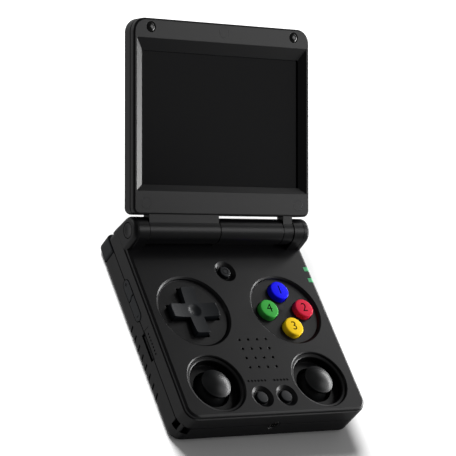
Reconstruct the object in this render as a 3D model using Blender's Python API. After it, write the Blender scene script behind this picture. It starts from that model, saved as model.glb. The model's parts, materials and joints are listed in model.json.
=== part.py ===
"""Clamshell handheld game console, standing open on its flat underside.

X runs to the player's right, Y away from the player and Z up. The origin is the middle of the
underside of the open console's bounding box. Base pieces are drawn round the hinge axis in plan and
from the underside in height. Lid pieces are drawn round the hinge axis, with Y along the lid.
"""

import math

import bmesh
import bpy

MM = 0.001

# General fits
GAP = 0.3 * MM
SLIDE_GAP = 0.25 * MM
OVERRUN = 1.0 * MM
FLUSH_SETBACK = 0.05 * MM
ROUND_STEPS = 24
FINE_ROUND_STEPS = 36
CORNER_STEPS = 5
FILLET_STEPS = 3

# Base body
BODY_WIDTH = 85.0 * MM
BODY_FRONT = 82.1 * MM
BODY_REAR = 6.5 * MM
BODY_HEIGHT = 17.2 * MM
SEAM_DROP = 8.5 * MM
FRONT_CORNER = 5.3 * MM
REAR_CORNER = 3.0 * MM
SIDE_WALL = 2.0 * MM
TOP_WALL = 2.5 * MM
FLOOR_WALL = 1.8 * MM
LEDGE_DROP = 1.5 * MM
LEDGE_WIDTH = 0.45 * MM
LEDGE_FILLET = 0.25 * MM
TOP_FILLET = 1.1 * MM
BOTTOM_FILLET = 2.6 * MM

# Hinge
REST_OPENING = math.radians(145.0)
AXIS_RISE = 4.92 * MM
BARREL_RADIUS = 5.16 * MM
BARREL_CHAMFER = 0.2 * MM
EAR_RADIUS = 5.4 * MM
EAR_FOOT = 5.59 * MM
EAR_SHOULDER_DROP = 8.0 * MM
EAR_ROOT = 2.5 * MM
EAR_FILLET = 1.9 * MM
LEFT_EAR = 7.06 * MM
RIGHT_EAR = 8.28 * MM
SHORT_KNUCKLE = 5.18 * MM
LONG_KNUCKLE_share = 0.5192
KNUCKLE_WEB = 3.6 * MM
TROUGH_CLEARANCE = 0.3 * MM
CAP_RADIUS = 3.0 * MM
CAP_THICKNESS = 0.9 * MM
SHAFT_RADIUS = 2.0 * MM
SHAFT_BITE = 3.6 * MM
CARTRIDGE_RADIUS = 3.2 * MM
CARTRIDGE_LENGTH = 16.0 * MM
SPIGOT_LENGTH = 5.0 * MM
PIN_BITE = 9.0 * MM

# Dishes and wells in the top face
DISH_RADIUS = 16.07 * MM
DISH_DEPTH = 1.3 * MM
DISH_SLOPE = 0.9 * MM
DPAD_ACROSS_share = 0.518
DPAD_ALONG_share = 0.42
WELL_RIM_RADIUS = 12.63 * MM
WELL_STEP_RADIUS = 11.1 * MM
WELL_STEP_DEPTH = 0.85 * MM
WELL_RADIUS = 10.9 * MM
WELL_DEPTH = 4.6 * MM
WELL_FLOOR = 1.2 * MM
WELL_WALL = 1.2 * MM
STICK_ACROSS_share = 0.574
STICK_ALONG_share = 0.819
SMALL_RIM_RADIUS = 4.7 * MM
SMALL_SEAT_RADIUS = 3.1 * MM
SMALL_ACROSS_share = 0.134
SMALL_ALONG_share = 0.901
MENU_ALONG_share = 0.195

# Speaker
GRILLE_ALONG_share = 0.664
GRILLE_PITCH = 4.21 * MM
GRILLE_HOLE_RADIUS = 0.55 * MM
GRILLE_COUNT = 4
GRILLE_SIDES = 6
SPEAKER_RADIUS = 9.2 * MM
SPEAKER_MAGNET_RADIUS = 5.5 * MM

# Main board and battery
BOARD_LIFT = 0.7 * MM
BOARD_THICKNESS = 1.2 * MM
BOARD_SIDE_MARGIN = 3.1 * MM
BOARD_FRONT_MARGIN = 1.1 * MM
BOARD_REAR = 3.6 * MM
TONGUE_HALF_WIDTH = 15.0 * MM
TONGUE_MARGIN = 0.7 * MM
BATTERY_MARGIN = 1.0 * MM
BATTERY_SIDE_CLEARANCE = 1.6 * MM
BATTERY_FRONT_CLEARANCE = 6.24 * MM
BATTERY_REAR = 10.0 * MM
BATTERY_CORNER = 1.5 * MM

# Case screws
BOSS_RADIUS = 2.2 * MM
POST_RADIUS = 2.7 * MM
SCREW_SHANK_RADIUS = 0.8 * MM
SCREW_HEAD_RADIUS = 1.8 * MM
SCREW_HEAD_HEIGHT = 1.0 * MM
SCREW_SINK = 0.3 * MM
SCREW_REACH = 2.2 * MM
SCREW_STEPS = 12
BOSS_SIDE_MARGIN = 3.3 * MM
BOSS_FRONT_MARGIN = 3.0 * MM
REAR_SCREW_ALONG_share = 0.14
CARD_SCREW_CLEARANCE = 0.55 * MM
FRONT_SCREW_ACROSS_share = 0.32

# Direction pad
CROSS_REACH = 10.65 * MM
CROSS_ARM_HALF = 3.05 * MM
CROSS_RISE = 1.2 * MM
CROSS_HOLLOW = 0.35 * MM
CROSS_FILLET = 0.3 * MM
CROSS_CLEARANCE = 0.6 * MM
CROSS_DIMPLE_RADIUS = 2.5 * MM
CROSS_DIMPLE_DEPTH = 0.8 * MM
CROSS_FLANGE_RADIUS = 12.2 * MM
CROSS_FLANGE = 0.8 * MM
CROSS_HEADROOM = 1.15 * MM
PIVOT_RADIUS = 1.3 * MM
PIVOT_DROP = 0.45 * MM
PIVOT_HOLE_RADIUS = 2.0 * MM

# Face buttons
FACE_RADIUS = 4.17 * MM
FACE_SPREAD = 8.6 * MM
FACE_RISE = 1.0 * MM
FACE_FILLET = 0.45 * MM
FACE_FLANGE_RADIUS = 5.0 * MM
FACE_FLANGE = 1.1 * MM
FACE_TRAVEL = 1.0 * MM
MEMBRANE_SHEET = 0.7 * MM
MEMBRANE_MARGIN = 0.5 * MM
MEMBRANE_DOME_RADIUS = 2.6 * MM
TRAVEL_MARGIN = 0.1 * MM

# Small buttons
SMALL_RADIUS = 2.45 * MM
SMALL_SINK = 0.3 * MM
SMALL_FILLET = 0.35 * MM
SMALL_FLANGE_RADIUS = 3.4 * MM
SMALL_FLANGE = 1.2 * MM
SMALL_TRAVEL = 0.7 * MM
SMALL_MEMBRANE_DEPTH = 6.6 * MM
MENU_SWITCH_HALF = 2.2 * MM

# Sticks
STICK_CAP_RADIUS = 6.2 * MM
STICK_CAP_EDGE = 1.2 * MM
STICK_CAP_DOME = 1.8 * MM
STICK_CAP_FILLET = 0.3 * MM
STICK_PIVOT_DROP = 9.4 * MM
STICK_SKIRT_RADIUS = 7.4 * MM
STICK_SKIRT_WALL = 0.9 * MM
STICK_SKIRT_ANGLE = math.radians(78.0)
STICK_NECK_RADIUS = 2.6 * MM
STICK_SHAFT_RADIUS = 1.3 * MM
STICK_BALL_RADIUS = 2.0 * MM
STICK_CROSS_PIN_RADIUS = 0.6 * MM
SKIRT_CLEARANCE = 0.5 * MM
GIMBAL_RADIUS = 4.8 * MM
GIMBAL_BORE = 3.1 * MM
GIMBAL_THICKNESS = 1.6 * MM
TRUNNION_RADIUS = 0.7 * MM
TRUNNION_REACH = 5.8 * MM
HOUSING_HALF = 7.0 * MM
HOUSING_HEIGHT_share = 0.73
HOUSING_POST = 0.7 * MM

# Light pipes
LIGHT_WIDTH = 2.0 * MM
LIGHT_LENGTH = 3.15 * MM
LIGHT_DROP = 4.0 * MM
LIGHT_GAP = 0.1 * MM
LIGHT_BRIDGE = 0.9 * MM
LIGHT_ALONG_shares = (0.184, 0.25)

# Volume keys and the right-hand buttons
VOLUME_LENGTH = 19.0 * MM
VOLUME_HEIGHT = 4.8 * MM
VOLUME_ALONG_share = 0.2935
KEY_TRAVEL = 0.6 * MM
KEY_SPLIT = 0.45 * MM
KEY_SPLIT_LEAN = 1.0 * MM
KEY_SPLIT_SHIFT = 1.0 * MM
KEY_FLANGE = 0.9 * MM
KEY_FLANGE_DEPTH = 0.9 * MM
KEY_FILLET = 0.3 * MM
KEY_PROUD = 0.15 * MM
POWER_LENGTH = 7.0 * MM
POWER_HEIGHT = 3.4 * MM
POWER_ALONG_share = 0.3
RESET_LENGTH = 3.4 * MM
RESET_ALONG_share = 0.42
SWITCH_DEPTH = 3.0 * MM
SWITCH_HEIGHT = 2.0 * MM
SWITCH_LENGTH = 4.0 * MM

# Memory card and its socket
CARD_WIDTH = 11.0 * MM
CARD_LENGTH = 15.0 * MM
CARD_THICKNESS = 0.8 * MM
CARD_SETBACK = 0.5 * MM
CARD_PUSH = 0.8 * MM
CARD_ALONG_share = 0.5487
CARD_SLOT_MARGIN = 0.5 * MM
SCOOP_LENGTH = 7.2 * MM
SCOOP_DROP = 1.1 * MM
SCOOP_DEPTH = 1.1 * MM
SOCKET_WALL = 0.3 * MM

# Jack and ports
JACK_ACROSS = 1.2 * MM
JACK_DROP = 0.6 * MM
JACK_HALF = 2.5 * MM
JACK_LENGTH = 11.0 * MM
JACK_BORE_RADIUS = 1.75 * MM
JACK_NOSE_RADIUS = 2.3 * MM
CHARGE_PORT_WIDTH = 8.9 * MM
CHARGE_PORT_HEIGHT = 3.2 * MM
VIDEO_PORT_WIDTH = 11.2 * MM
PORT_SHELL = 0.35 * MM
PORT_DEPTH = 7.5 * MM
PORT_BLIND = 1.2 * MM
PORT_SETBACK = 0.3 * MM
PORT_SPACING = 1.6 * MM
PORT_TONGUE = 0.7 * MM

# Shoulder buttons
SHOULDER_OUTER_share = 0.3624
SHOULDER_INNER_share = 0.3341
SHOULDER_SPLIT = 0.4 * MM
SHOULDER_PROUD = 1.8 * MM
SHOULDER_INNER_PROUD = 2.4 * MM
SHOULDER_CORNER = 3.0 * MM
SHOULDER_INNER_CORNER = 1.2 * MM
SHOULDER_FILLET = 0.7 * MM
SHOULDER_BASE = 1.2 * MM
SHOULDER_FRONT = 0.3 * MM
SHOULDER_TRAVEL = 0.8 * MM
POCKET_WALL = 1.4 * MM
STEM_RADIUS = 1.0 * MM
STEM_REACH = 1.9 * MM

# Grip grooves and the strap corner
GROOVE_COUNT = 8
GROOVE_PITCH = 4.35 * MM
GROOVE_FIRST_share = 0.4258
GROOVE_WIDTH = 1.0 * MM
GROOVE_DEPTH = 0.8 * MM
GROOVE_HEIGHT = 4.2 * MM
GROOVE_LEAN = 2.0 * MM
STRAP_POCKET = 5.4 * MM
STRAP_BASE = 5.1 * MM
STRAP_BAR_RADIUS = 0.8 * MM
STRAP_ROOF_RISE = 1.0 * MM
STRAP_WALL = 1.5 * MM
STRAP_SEAT = 1.0 * MM

# Lid
CLOSED_GAP = 0.53 * MM
LID_FOOT_CLEARANCE = 0.5 * MM
LID_OVERHANG = 0.49 * MM
LID_THICKNESS = 8.02 * MM
LID_TOP_CORNER = 5.7 * MM
LID_BOTTOM_CORNER = 2.7 * MM
BEZEL_DEPTH = 5.25 * MM
BEZEL_WALL = 1.4 * MM
BEZEL_FILLET = 0.9 * MM
COVER_WALL = 1.4 * MM
COVER_FILLET = 2.0 * MM
SCREEN_TOP_MARGIN = 7.73 * MM
SCREEN_BOTTOM_MARGIN = 9.37 * MM
SCREEN_SIDE_MARGIN = 1.4 * MM
BEVEL_TOP = 4.88 * MM
BEVEL_BOTTOM = 2.38 * MM
BEVEL_SIDE = 3.3 * MM
BEVEL_DEPTH = 1.55 * MM
BEVEL_LIP = 0.4 * MM
GLASS_BORDER = 1.6 * MM
GLASS_THICKNESS = 1.0 * MM
PANEL_SETBACK = 0.7 * MM
TAB_THICKNESS = 4.2 * MM
TAB_SETBACK = 0.3 * MM
BUMPER_FROM_SIDE = 8.0 * MM
BUMPER_FROM_TOP = 3.5 * MM
BUMPER_SEAT_RADIUS = 2.4 * MM
BUMPER_SEAT_DEPTH = 0.9 * MM
BUMPER_RADIUS = 1.95 * MM
BUMPER_RISE = 0.25 * MM
COVER_DISC_RADIUS = 2.15 * MM
COVER_DISC_THICKNESS = 0.5 * MM
LID_SCREW_FROM_SIDE = 5.8 * MM
LID_SCREW_FROM_BOTTOM = 4.5 * MM
LID_SCREW_FROM_TOP = 3.6 * MM
LID_SCREW_HEAD_RADIUS = 1.5 * MM
LID_SCREW_HEAD = 0.7 * MM
LID_SCREW_SHANK_RADIUS = 0.5 * MM
LID_BOSS_RADIUS = 2.6 * MM
LID_POST_RADIUS = 1.8 * MM

# Heights and places that follow from the sizes above
HALF_WIDTH = BODY_WIDTH / 2
SHOULDER_OUTER_WIDTH = SHOULDER_OUTER_share * HALF_WIDTH
SHOULDER_INNER_WIDTH = SHOULDER_INNER_share * HALF_WIDTH
SEAM = BODY_HEIGHT - SEAM_DROP
UPPER_BASE = SEAM + GAP / 2
LOWER_TOP = SEAM - GAP / 2
CEILING = BODY_HEIGHT - TOP_WALL
DISH_FLOOR = BODY_HEIGHT - DISH_DEPTH
WELL_FLOOR_TOP = BODY_HEIGHT - WELL_DEPTH
BOARD_BASE = SEAM + BOARD_LIFT
BOARD_TOP = BOARD_BASE + BOARD_THICKNESS
SEAT = BOARD_TOP + GAP
AXIS_Z = BODY_HEIGHT + AXIS_RISE
INNER_HALF = HALF_WIDTH - SIDE_WALL
INNER_FRONT = BODY_FRONT - SIDE_WALL
REST_TILT = math.pi - REST_OPENING
LID_FACE = AXIS_RISE - CLOSED_GAP
LID_BACK = LID_FACE - LID_THICKNESS
LID_FOOT = EAR_FOOT + LID_FOOT_CLEARANCE
LID_TOP = BODY_FRONT + LID_OVERHANG
BEZEL_BACK = LID_FACE - BEZEL_DEPTH
COVER_FRONT = BEZEL_BACK - GAP
LEFT_SEAM = -HALF_WIDTH + LEFT_EAR
RIGHT_SEAM = HALF_WIDTH - RIGHT_EAR
CENTRE_RIGHT = RIGHT_SEAM - SHORT_KNUCKLE
CENTRE_LEFT = LEFT_SEAM + LONG_KNUCKLE_share * (CENTRE_RIGHT - LEFT_SEAM)
STICK_PIVOT = BODY_HEIGHT - STICK_PIVOT_DROP
HOUSING_HEIGHT = HOUSING_HEIGHT_share * (STICK_PIVOT - STICK_BALL_RADIUS - FLOOR_WALL - GAP)
LEDGE = BODY_HEIGHT - LEDGE_DROP

# The open lid's rearmost point, which centres the console on its origin
LID_REACH = (
    LID_TOP * math.cos(REST_TILT)
    - LID_BACK * math.sin(REST_TILT)
    - COVER_FILLET * (math.cos(REST_TILT) + math.sin(REST_TILT) - 1)
)
AXIS_Y = (BODY_FRONT - LID_REACH) / 2


# Shapes: each is a list of points and a list of faces


def upright(u, v, h):
    return (u, v, h)


def along_x(u, v, h):
    return (h, u, v)


def along_y(u, v, h):
    return (u, h, v)


def arc(centre, radius, start, end, steps):
    """Points along a circular arc, angles in degrees."""
    turns = [math.radians(start + (end - start) * i / steps) for i in range(steps + 1)]
    return [(centre[0] + radius * math.cos(t), centre[1] + radius * math.sin(t)) for t in turns]


def rounded_rectangle(u0, u1, v0, v1, low_radius, high_radius=None, steps=CORNER_STEPS):
    """A rectangle with its two low-v corners and its two high-v corners rounded."""
    high_radius = low_radius if high_radius is None else high_radius
    return (
        arc((u0 + low_radius, v0 + low_radius), low_radius, 180, 270, steps)
        + arc((u1 - low_radius, v0 + low_radius), low_radius, 270, 360, steps)
        + arc((u1 - high_radius, v1 - high_radius), high_radius, 0, 90, steps)
        + arc((u0 + high_radius, v1 - high_radius), high_radius, 90, 180, steps)
    )


def slot_outline(u, v, length, height, steps=CORNER_STEPS):
    """A slot with round ends, length along u."""
    reach = (length - height) / 2
    right = arc((u + reach, v), height / 2, -90, 90, 2 * steps)
    return right + arc((u - reach, v), height / 2, 90, 270, 2 * steps)


def circle(centre, radius, steps=ROUND_STEPS):
    return arc(centre, radius, 0, 360 - 360 / steps, steps - 1)


def inset_outline(points, inset):
    """The outline moved inwards by the same distance on every side."""
    if inset == 0:
        return list(points)
    area = sum(a[0] * b[1] - b[0] * a[1] for a, b in zip(points, points[1:] + points[:1]))
    sign = 1 if area > 0 else -1
    moved = []
    for before, point, after in zip(points[-1:] + points[:-1], points, points[1:] + points[:1]):
        normals = []
        for a, b in ((before, point), (point, after)):
            du, dv = b[0] - a[0], b[1] - a[1]
            size = math.hypot(du, dv)
            normals.append((-dv / size * sign, du / size * sign))
        (nu, nv), (mu, mv) = normals
        scale = inset / (1 + nu * mu + nv * mv)
        moved.append((point[0] + (nu + mu) * scale, point[1] + (nv + mv) * scale))
    return moved


def stacked(outline, levels, lay=upright):
    """A closed body of copies of one outline: each level is (inset, height)."""
    count = len(outline)
    points = [lay(u, v, h) for inset, h in levels for u, v in inset_outline(outline, inset)]
    faces = [tuple(reversed(range(count)))]
    for ring in range(len(levels) - 1):
        low, high = ring * count, (ring + 1) * count
        for i in range(count):
            j = (i + 1) % count
            faces.append((low + i, low + j, high + j, high + i))
    faces.append(tuple(range(len(points) - count, len(points))))
    return points, faces


def prism(outline, low, high, lay=upright):
    return stacked(outline, [(0, low), (0, high)], lay)


def rounded_base(base, radius, inset=0, steps=FILLET_STEPS):
    """Levels of a rounded lower edge, from the flat up to the wall."""
    turns = [math.pi / 2 * i / steps for i in range(steps + 1)]
    return [(inset + radius * (1 - math.sin(t)), base + radius * (1 - math.cos(t))) for t in turns]


def rounded_top(top, radius, inset=0, steps=FILLET_STEPS):
    """Levels of a rounded upper edge, from the wall up to the flat."""
    turns = [math.pi / 2 * i / steps for i in range(steps + 1)]
    return [(inset + radius * (1 - math.cos(t)), top - radius * (1 - math.sin(t))) for t in turns]


def turned(profile, centre=(0, 0), lay=upright, steps=ROUND_STEPS, ring=False):
    """A body turned from (radius, height) points. A ring's profile closes on itself."""
    points, rows = [], []
    for radius, height in profile:
        row = range(len(points), len(points) + (steps if radius else 1))
        for i in row:
            turn = 2 * math.pi * (i - row[0]) / steps
            u = centre[0] + radius * math.cos(turn)
            points.append(lay(u, centre[1] + radius * math.sin(turn), height))
        rows.append(list(row))
    faces = []
    for low, high in zip(rows, rows[1:] + rows[:1] if ring else rows[1:]):
        for i in range(steps):
            j = (i + 1) % steps
            corners = [low[i % len(low)], low[j % len(low)], high[j % len(high)], high[i % len(high)]]
            faces.append(tuple(dict.fromkeys(corners)))
    if not ring:
        faces += [tuple(row) for row in (rows[0], rows[-1]) if len(row) > 1]
    return points, faces


def box(x0, x1, y0, y1, z0, z1):
    return prism([(x0, y0), (x1, y0), (x1, y1), (x0, y1)], z0, z1)


def together(shapes):
    """Several separate bodies as one shape."""
    points, faces = [], []
    for shape_points, shape_faces in shapes:
        start = len(points)
        points += shape_points
        faces += [tuple(start + i for i in face) for face in shape_faces]
    return points, faces


def mirrored(shape):
    points, faces = shape
    return [(-x, y, z) for x, y, z in points], faces


# Objects, materials and Booleans


def clear_scene():
    for thing in list(bpy.data.objects):
        bpy.data.objects.remove(thing, do_unlink=True)


def material(name, colour, roughness, metallic=0.0):
    made = bpy.data.materials.get(name)
    if made is None:
        made = bpy.data.materials.new(name)
        made.use_nodes = True
        shader = made.node_tree.nodes["Principled BSDF"]
        shader.inputs["Base Color"].default_value = (*colour, 1.0)
        shader.inputs["Roughness"].default_value = roughness
        shader.inputs["Metallic"].default_value = metallic
    return made


MATERIALS = {
    "shell_black": ((0.022, 0.022, 0.024), 0.55, 0.0),
    "key_black": ((0.035, 0.036, 0.038), 0.45, 0.0),
    "rubber_black": ((0.012, 0.012, 0.013), 0.35, 0.0),
    "glass_black": ((0.006, 0.006, 0.007), 0.08, 0.0),
    "display_black": ((0.012, 0.012, 0.013), 0.25, 0.0),
    "button_blue": ((0.010, 0.010, 0.870), 0.35, 0.0),
    "button_green": ((0.033, 0.350, 0.045), 0.35, 0.0),
    "button_red": ((0.600, 0.024, 0.070), 0.35, 0.0),
    "button_yellow": ((0.830, 0.570, 0.013), 0.35, 0.0),
    "light_green": ((0.240, 0.740, 0.350), 0.30, 0.0),
    "board_green": ((0.015, 0.110, 0.045), 0.50, 0.0),
    "battery_silver": ((0.550, 0.560, 0.580), 0.40, 0.6),
    "steel": ((0.560, 0.560, 0.580), 0.30, 1.0),
    "silicone_grey": ((0.300, 0.300, 0.310), 0.70, 0.0),
}


def mesh_from(name, shape):
    points, faces = shape
    mesh = bpy.data.meshes.new(name)
    mesh.from_pydata(points, [], faces)
    form = bmesh.new()
    form.from_mesh(mesh)
    bmesh.ops.recalc_face_normals(form, faces=form.faces)
    form.to_mesh(mesh)
    form.free()
    return mesh


def add_object(name, shape, parent, place=(0, 0, 0)):
    thing = bpy.data.objects.new(name, mesh_from(name, shape))
    bpy.context.scene.collection.objects.link(thing)
    thing.parent = parent
    thing.location = place
    return thing


def piece(name, shape, finish, parent, place=(0, 0, 0)):
    """One sub-part, with its own material."""
    thing = add_object(name, shape, parent, place)
    thing.data.materials.append(material(name + "_" + finish, *MATERIALS[finish]))
    thing.data.shade_smooth()
    thing.data.set_sharp_from_angle(angle=math.radians(30.0))
    return thing


def shape_by(target, operation, name, shape):
    """Cuts or joins a hidden helper shape, drawn in the target's own coordinates."""
    helper = add_object(target.name + "_" + name, shape, target.parent, target.location)
    helper.hide_render = True
    helper.display_type = "WIRE"
    step = target.modifiers.new(name, "BOOLEAN")
    step.operation = operation
    step.solver = "EXACT"
    step.object = helper


def cut(target, name, *shapes):
    shape_by(target, "DIFFERENCE", name, together(shapes))


def join(target, name, *shapes):
    shape_by(target, "UNION", name, together(shapes))


def empty(name, parent=None, place=(0, 0, 0), tilt=0):
    thing = bpy.data.objects.new(name, None)
    bpy.context.scene.collection.objects.link(thing)
    thing.parent = parent
    thing.location = place
    thing.rotation_euler = (tilt, 0, 0)
    return thing


# Places on the base, as (across, along) in the base's plan


def base_place(across_share, along_share):
    return across_share * HALF_WIDTH, -along_share * BODY_FRONT


DPAD = base_place(-DPAD_ACROSS_share, DPAD_ALONG_share)
FACES = base_place(DPAD_ACROSS_share, DPAD_ALONG_share)
LEFT_STICK = base_place(-STICK_ACROSS_share, STICK_ALONG_share)
RIGHT_STICK = base_place(STICK_ACROSS_share, STICK_ALONG_share)
SELECT = base_place(-SMALL_ACROSS_share, SMALL_ALONG_share)
START = base_place(SMALL_ACROSS_share, SMALL_ALONG_share)
MENU = base_place(0, MENU_ALONG_share)
GRILLE = base_place(0, GRILLE_ALONG_share)
FACE_OFFSETS = {
    "face_button_top": (0, FACE_SPREAD),
    "face_button_left": (-FACE_SPREAD, 0),
    "face_button_right": (FACE_SPREAD, 0),
    "face_button_bottom": (0, -FACE_SPREAD),
}
CARD_CENTRE = -CARD_ALONG_share * BODY_FRONT
CARD_REACH = HALF_WIDTH - CARD_SETBACK - CARD_LENGTH - CARD_PUSH - GAP
SOCKET_HALF = CARD_WIDTH / 2 + SLIDE_GAP + SOCKET_WALL
SCREW_PLACES = [
    (side * across, along)
    for across, along in (
        (INNER_HALF - BOSS_SIDE_MARGIN, -REAR_SCREW_ALONG_share * BODY_FRONT),
        (INNER_HALF - BOSS_SIDE_MARGIN, CARD_CENTRE - SOCKET_HALF - POST_RADIUS - CARD_SCREW_CLEARANCE),
        (FRONT_SCREW_ACROSS_share * HALF_WIDTH, -INNER_FRONT + BOSS_FRONT_MARGIN),
    )
    for side in (-1, 1)
]
VOLUME_CENTRE = -VOLUME_ALONG_share * BODY_FRONT
POWER_CENTRE = -POWER_ALONG_share * BODY_FRONT
RESET_CENTRE = -RESET_ALONG_share * BODY_FRONT
CARD_Z = LOWER_TOP - CARD_THICKNESS / 2
JACK_Z = SEAM - JACK_DROP
PORT_Z = SEAT + CHARGE_PORT_HEIGHT / 2
PORTS = {
    "charging_port": (-(CHARGE_PORT_WIDTH + PORT_SPACING) / 2, CHARGE_PORT_WIDTH),
    "video_port": ((VIDEO_PORT_WIDTH + PORT_SPACING) / 2, VIDEO_PORT_WIDTH),
}
POCKET_FRONT = -SHOULDER_FRONT - SHOULDER_TRAVEL - TRAVEL_MARGIN
POCKET_INNER = (
    HALF_WIDTH - SHOULDER_OUTER_WIDTH - SHOULDER_SPLIT - SHOULDER_INNER_WIDTH - SHOULDER_SPLIT
)
STEM_PLACES = (
    HALF_WIDTH - SHOULDER_OUTER_WIDTH / 2,
    POCKET_INNER + SHOULDER_SPLIT + SHOULDER_INNER_WIDTH / 2,
)
STEM_Z = (SHOULDER_BASE + LOWER_TOP) / 2
STRAP_CORNER = (-HALF_WIDTH, -BODY_FRONT)
STRAP_ROOF = SEAM + STRAP_ROOF_RISE


def body_outline():
    return rounded_rectangle(
        -HALF_WIDTH, HALF_WIDTH, -BODY_FRONT, BODY_REAR, FRONT_CORNER, REAR_CORNER
    )


def upper_levels():
    """The upper shell's outside: wall, narrow ledge, then the rounded top plate."""
    return (
        [(0, UPPER_BASE)]
        + rounded_top(LEDGE, LEDGE_FILLET, 0, 1)
        + [(LEDGE_WIDTH, LEDGE)]
        + rounded_top(BODY_HEIGHT, TOP_FILLET, LEDGE_WIDTH)
    )


def ear_outline():
    """The ear's side view round the hinge axis: a round head on a foot that widens to the rear."""
    rear = math.degrees(math.asin(EAR_RADIUS / math.hypot(BODY_REAR, EAR_SHOULDER_DROP)))
    rear_line = math.degrees(math.atan2(-EAR_SHOULDER_DROP, BODY_REAR))
    front = math.degrees(math.acos(EAR_RADIUS / math.hypot(EAR_FOOT, AXIS_RISE)))
    front_line = 180 + math.degrees(math.atan2(AXIS_RISE, EAR_FOOT))
    head = arc((0, AXIS_Z), EAR_RADIUS, rear_line + 90 - rear, front_line - front, 3 * CORNER_STEPS)
    shoulder = AXIS_Z - EAR_SHOULDER_DROP
    root = shoulder - EAR_ROOT
    rear_face = BODY_REAR - FLUSH_SETBACK
    foot = [(-EAR_FOOT, BODY_HEIGHT), (-EAR_FOOT, root), (rear_face, root)]
    return head + foot + [(rear_face, shoulder)]


def ear(outer, inner, sign):
    """An ear from its outer end to its inner end; sign is the side it stands on."""
    end = outer - sign * FLUSH_SETBACK
    levels = [(0, inner)]
    for inset, height in rounded_top(0, EAR_FILLET):
        levels.append((inset, end + sign * height))
    return stacked(ear_outline(), levels, along_x)


def barrel(left, right, radius=BARREL_RADIUS, axis=(0, AXIS_Z)):
    chamfer = BARREL_CHAMFER
    profile = [(radius - chamfer, left), (radius, left + chamfer)]
    profile += [(radius, right - chamfer), (radius - chamfer, right)]
    return turned(profile, axis, along_x)


def rod(left, right, radius, axis=(0, AXIS_Z), steps=20):
    return turned([(radius, left), (radius, right)], axis, along_x, steps)


def disc(centre, radius, low, high, steps=ROUND_STEPS):
    return prism(circle(centre, radius, steps), low, high)


def cone(centre, low_radius, high_radius, low, high, steps=ROUND_STEPS):
    """A hole cutter that widens upwards and then runs on past the face."""
    profile = [(low_radius, low), (high_radius, high), (high_radius, high + OVERRUN)]
    return turned(profile, centre, upright, steps)


def cross_outline(reach, arm):
    return [
        (-arm, -reach), (arm, -reach), (arm, -arm), (reach, -arm),
        (reach, arm), (arm, arm), (arm, reach), (-arm, reach),
        (-arm, arm), (-reach, arm), (-reach, -arm), (-arm, -arm),
    ]


def shift(outline, centre):
    return [(u + centre[0], v + centre[1]) for u, v in outline]


def volume_outline(inset=0):
    """The volume slot on the side wall, as (along, height)."""
    outline = slot_outline(VOLUME_CENTRE, SEAM, VOLUME_LENGTH, VOLUME_HEIGHT)
    return inset_outline(outline, inset)


def side_button_cutters():
    """Slots through the side walls for the volume keys, power and reset buttons."""
    left = (-HALF_WIDTH - OVERRUN, -INNER_HALF + OVERRUN)
    right = (INNER_HALF - OVERRUN, HALF_WIDTH + OVERRUN)
    return [
        prism(volume_outline(), *left, along_x),
        prism(slot_outline(POWER_CENTRE, SEAM, POWER_LENGTH, POWER_HEIGHT), *right, along_x),
        prism(circle((RESET_CENTRE, SEAM), RESET_LENGTH / 2), *right, along_x),
    ]


def jack_cutter():
    radius = JACK_NOSE_RADIUS + SLIDE_GAP
    profile = [(radius, -BODY_FRONT - OVERRUN), (radius, -INNER_FRONT + OVERRUN)]
    return turned(profile, (JACK_ACROSS, JACK_Z), along_y)


def card_slot_cutter():
    half = CARD_WIDTH / 2 + CARD_SLOT_MARGIN
    return box(
        -HALF_WIDTH - OVERRUN, -INNER_HALF + OVERRUN, CARD_CENTRE - half, CARD_CENTRE + half,
        CARD_Z - CARD_THICKNESS / 2 - GAP, LOWER_TOP + OVERRUN,
    )


def strap_pocket(base, top):
    """The open corner that a wrist strap passes through."""
    x, y = STRAP_CORNER
    return box(x - OVERRUN, x + STRAP_POCKET, y - OVERRUN, y + STRAP_POCKET, base, top)


def strap_block(base, top, margin=0):
    """The solid corner round that opening."""
    x, y = STRAP_CORNER
    reach = STRAP_POCKET + STRAP_WALL + margin
    return box(x + SIDE_WALL - GAP, x + reach, y + SIDE_WALL - GAP, y + reach, base, top)


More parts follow.
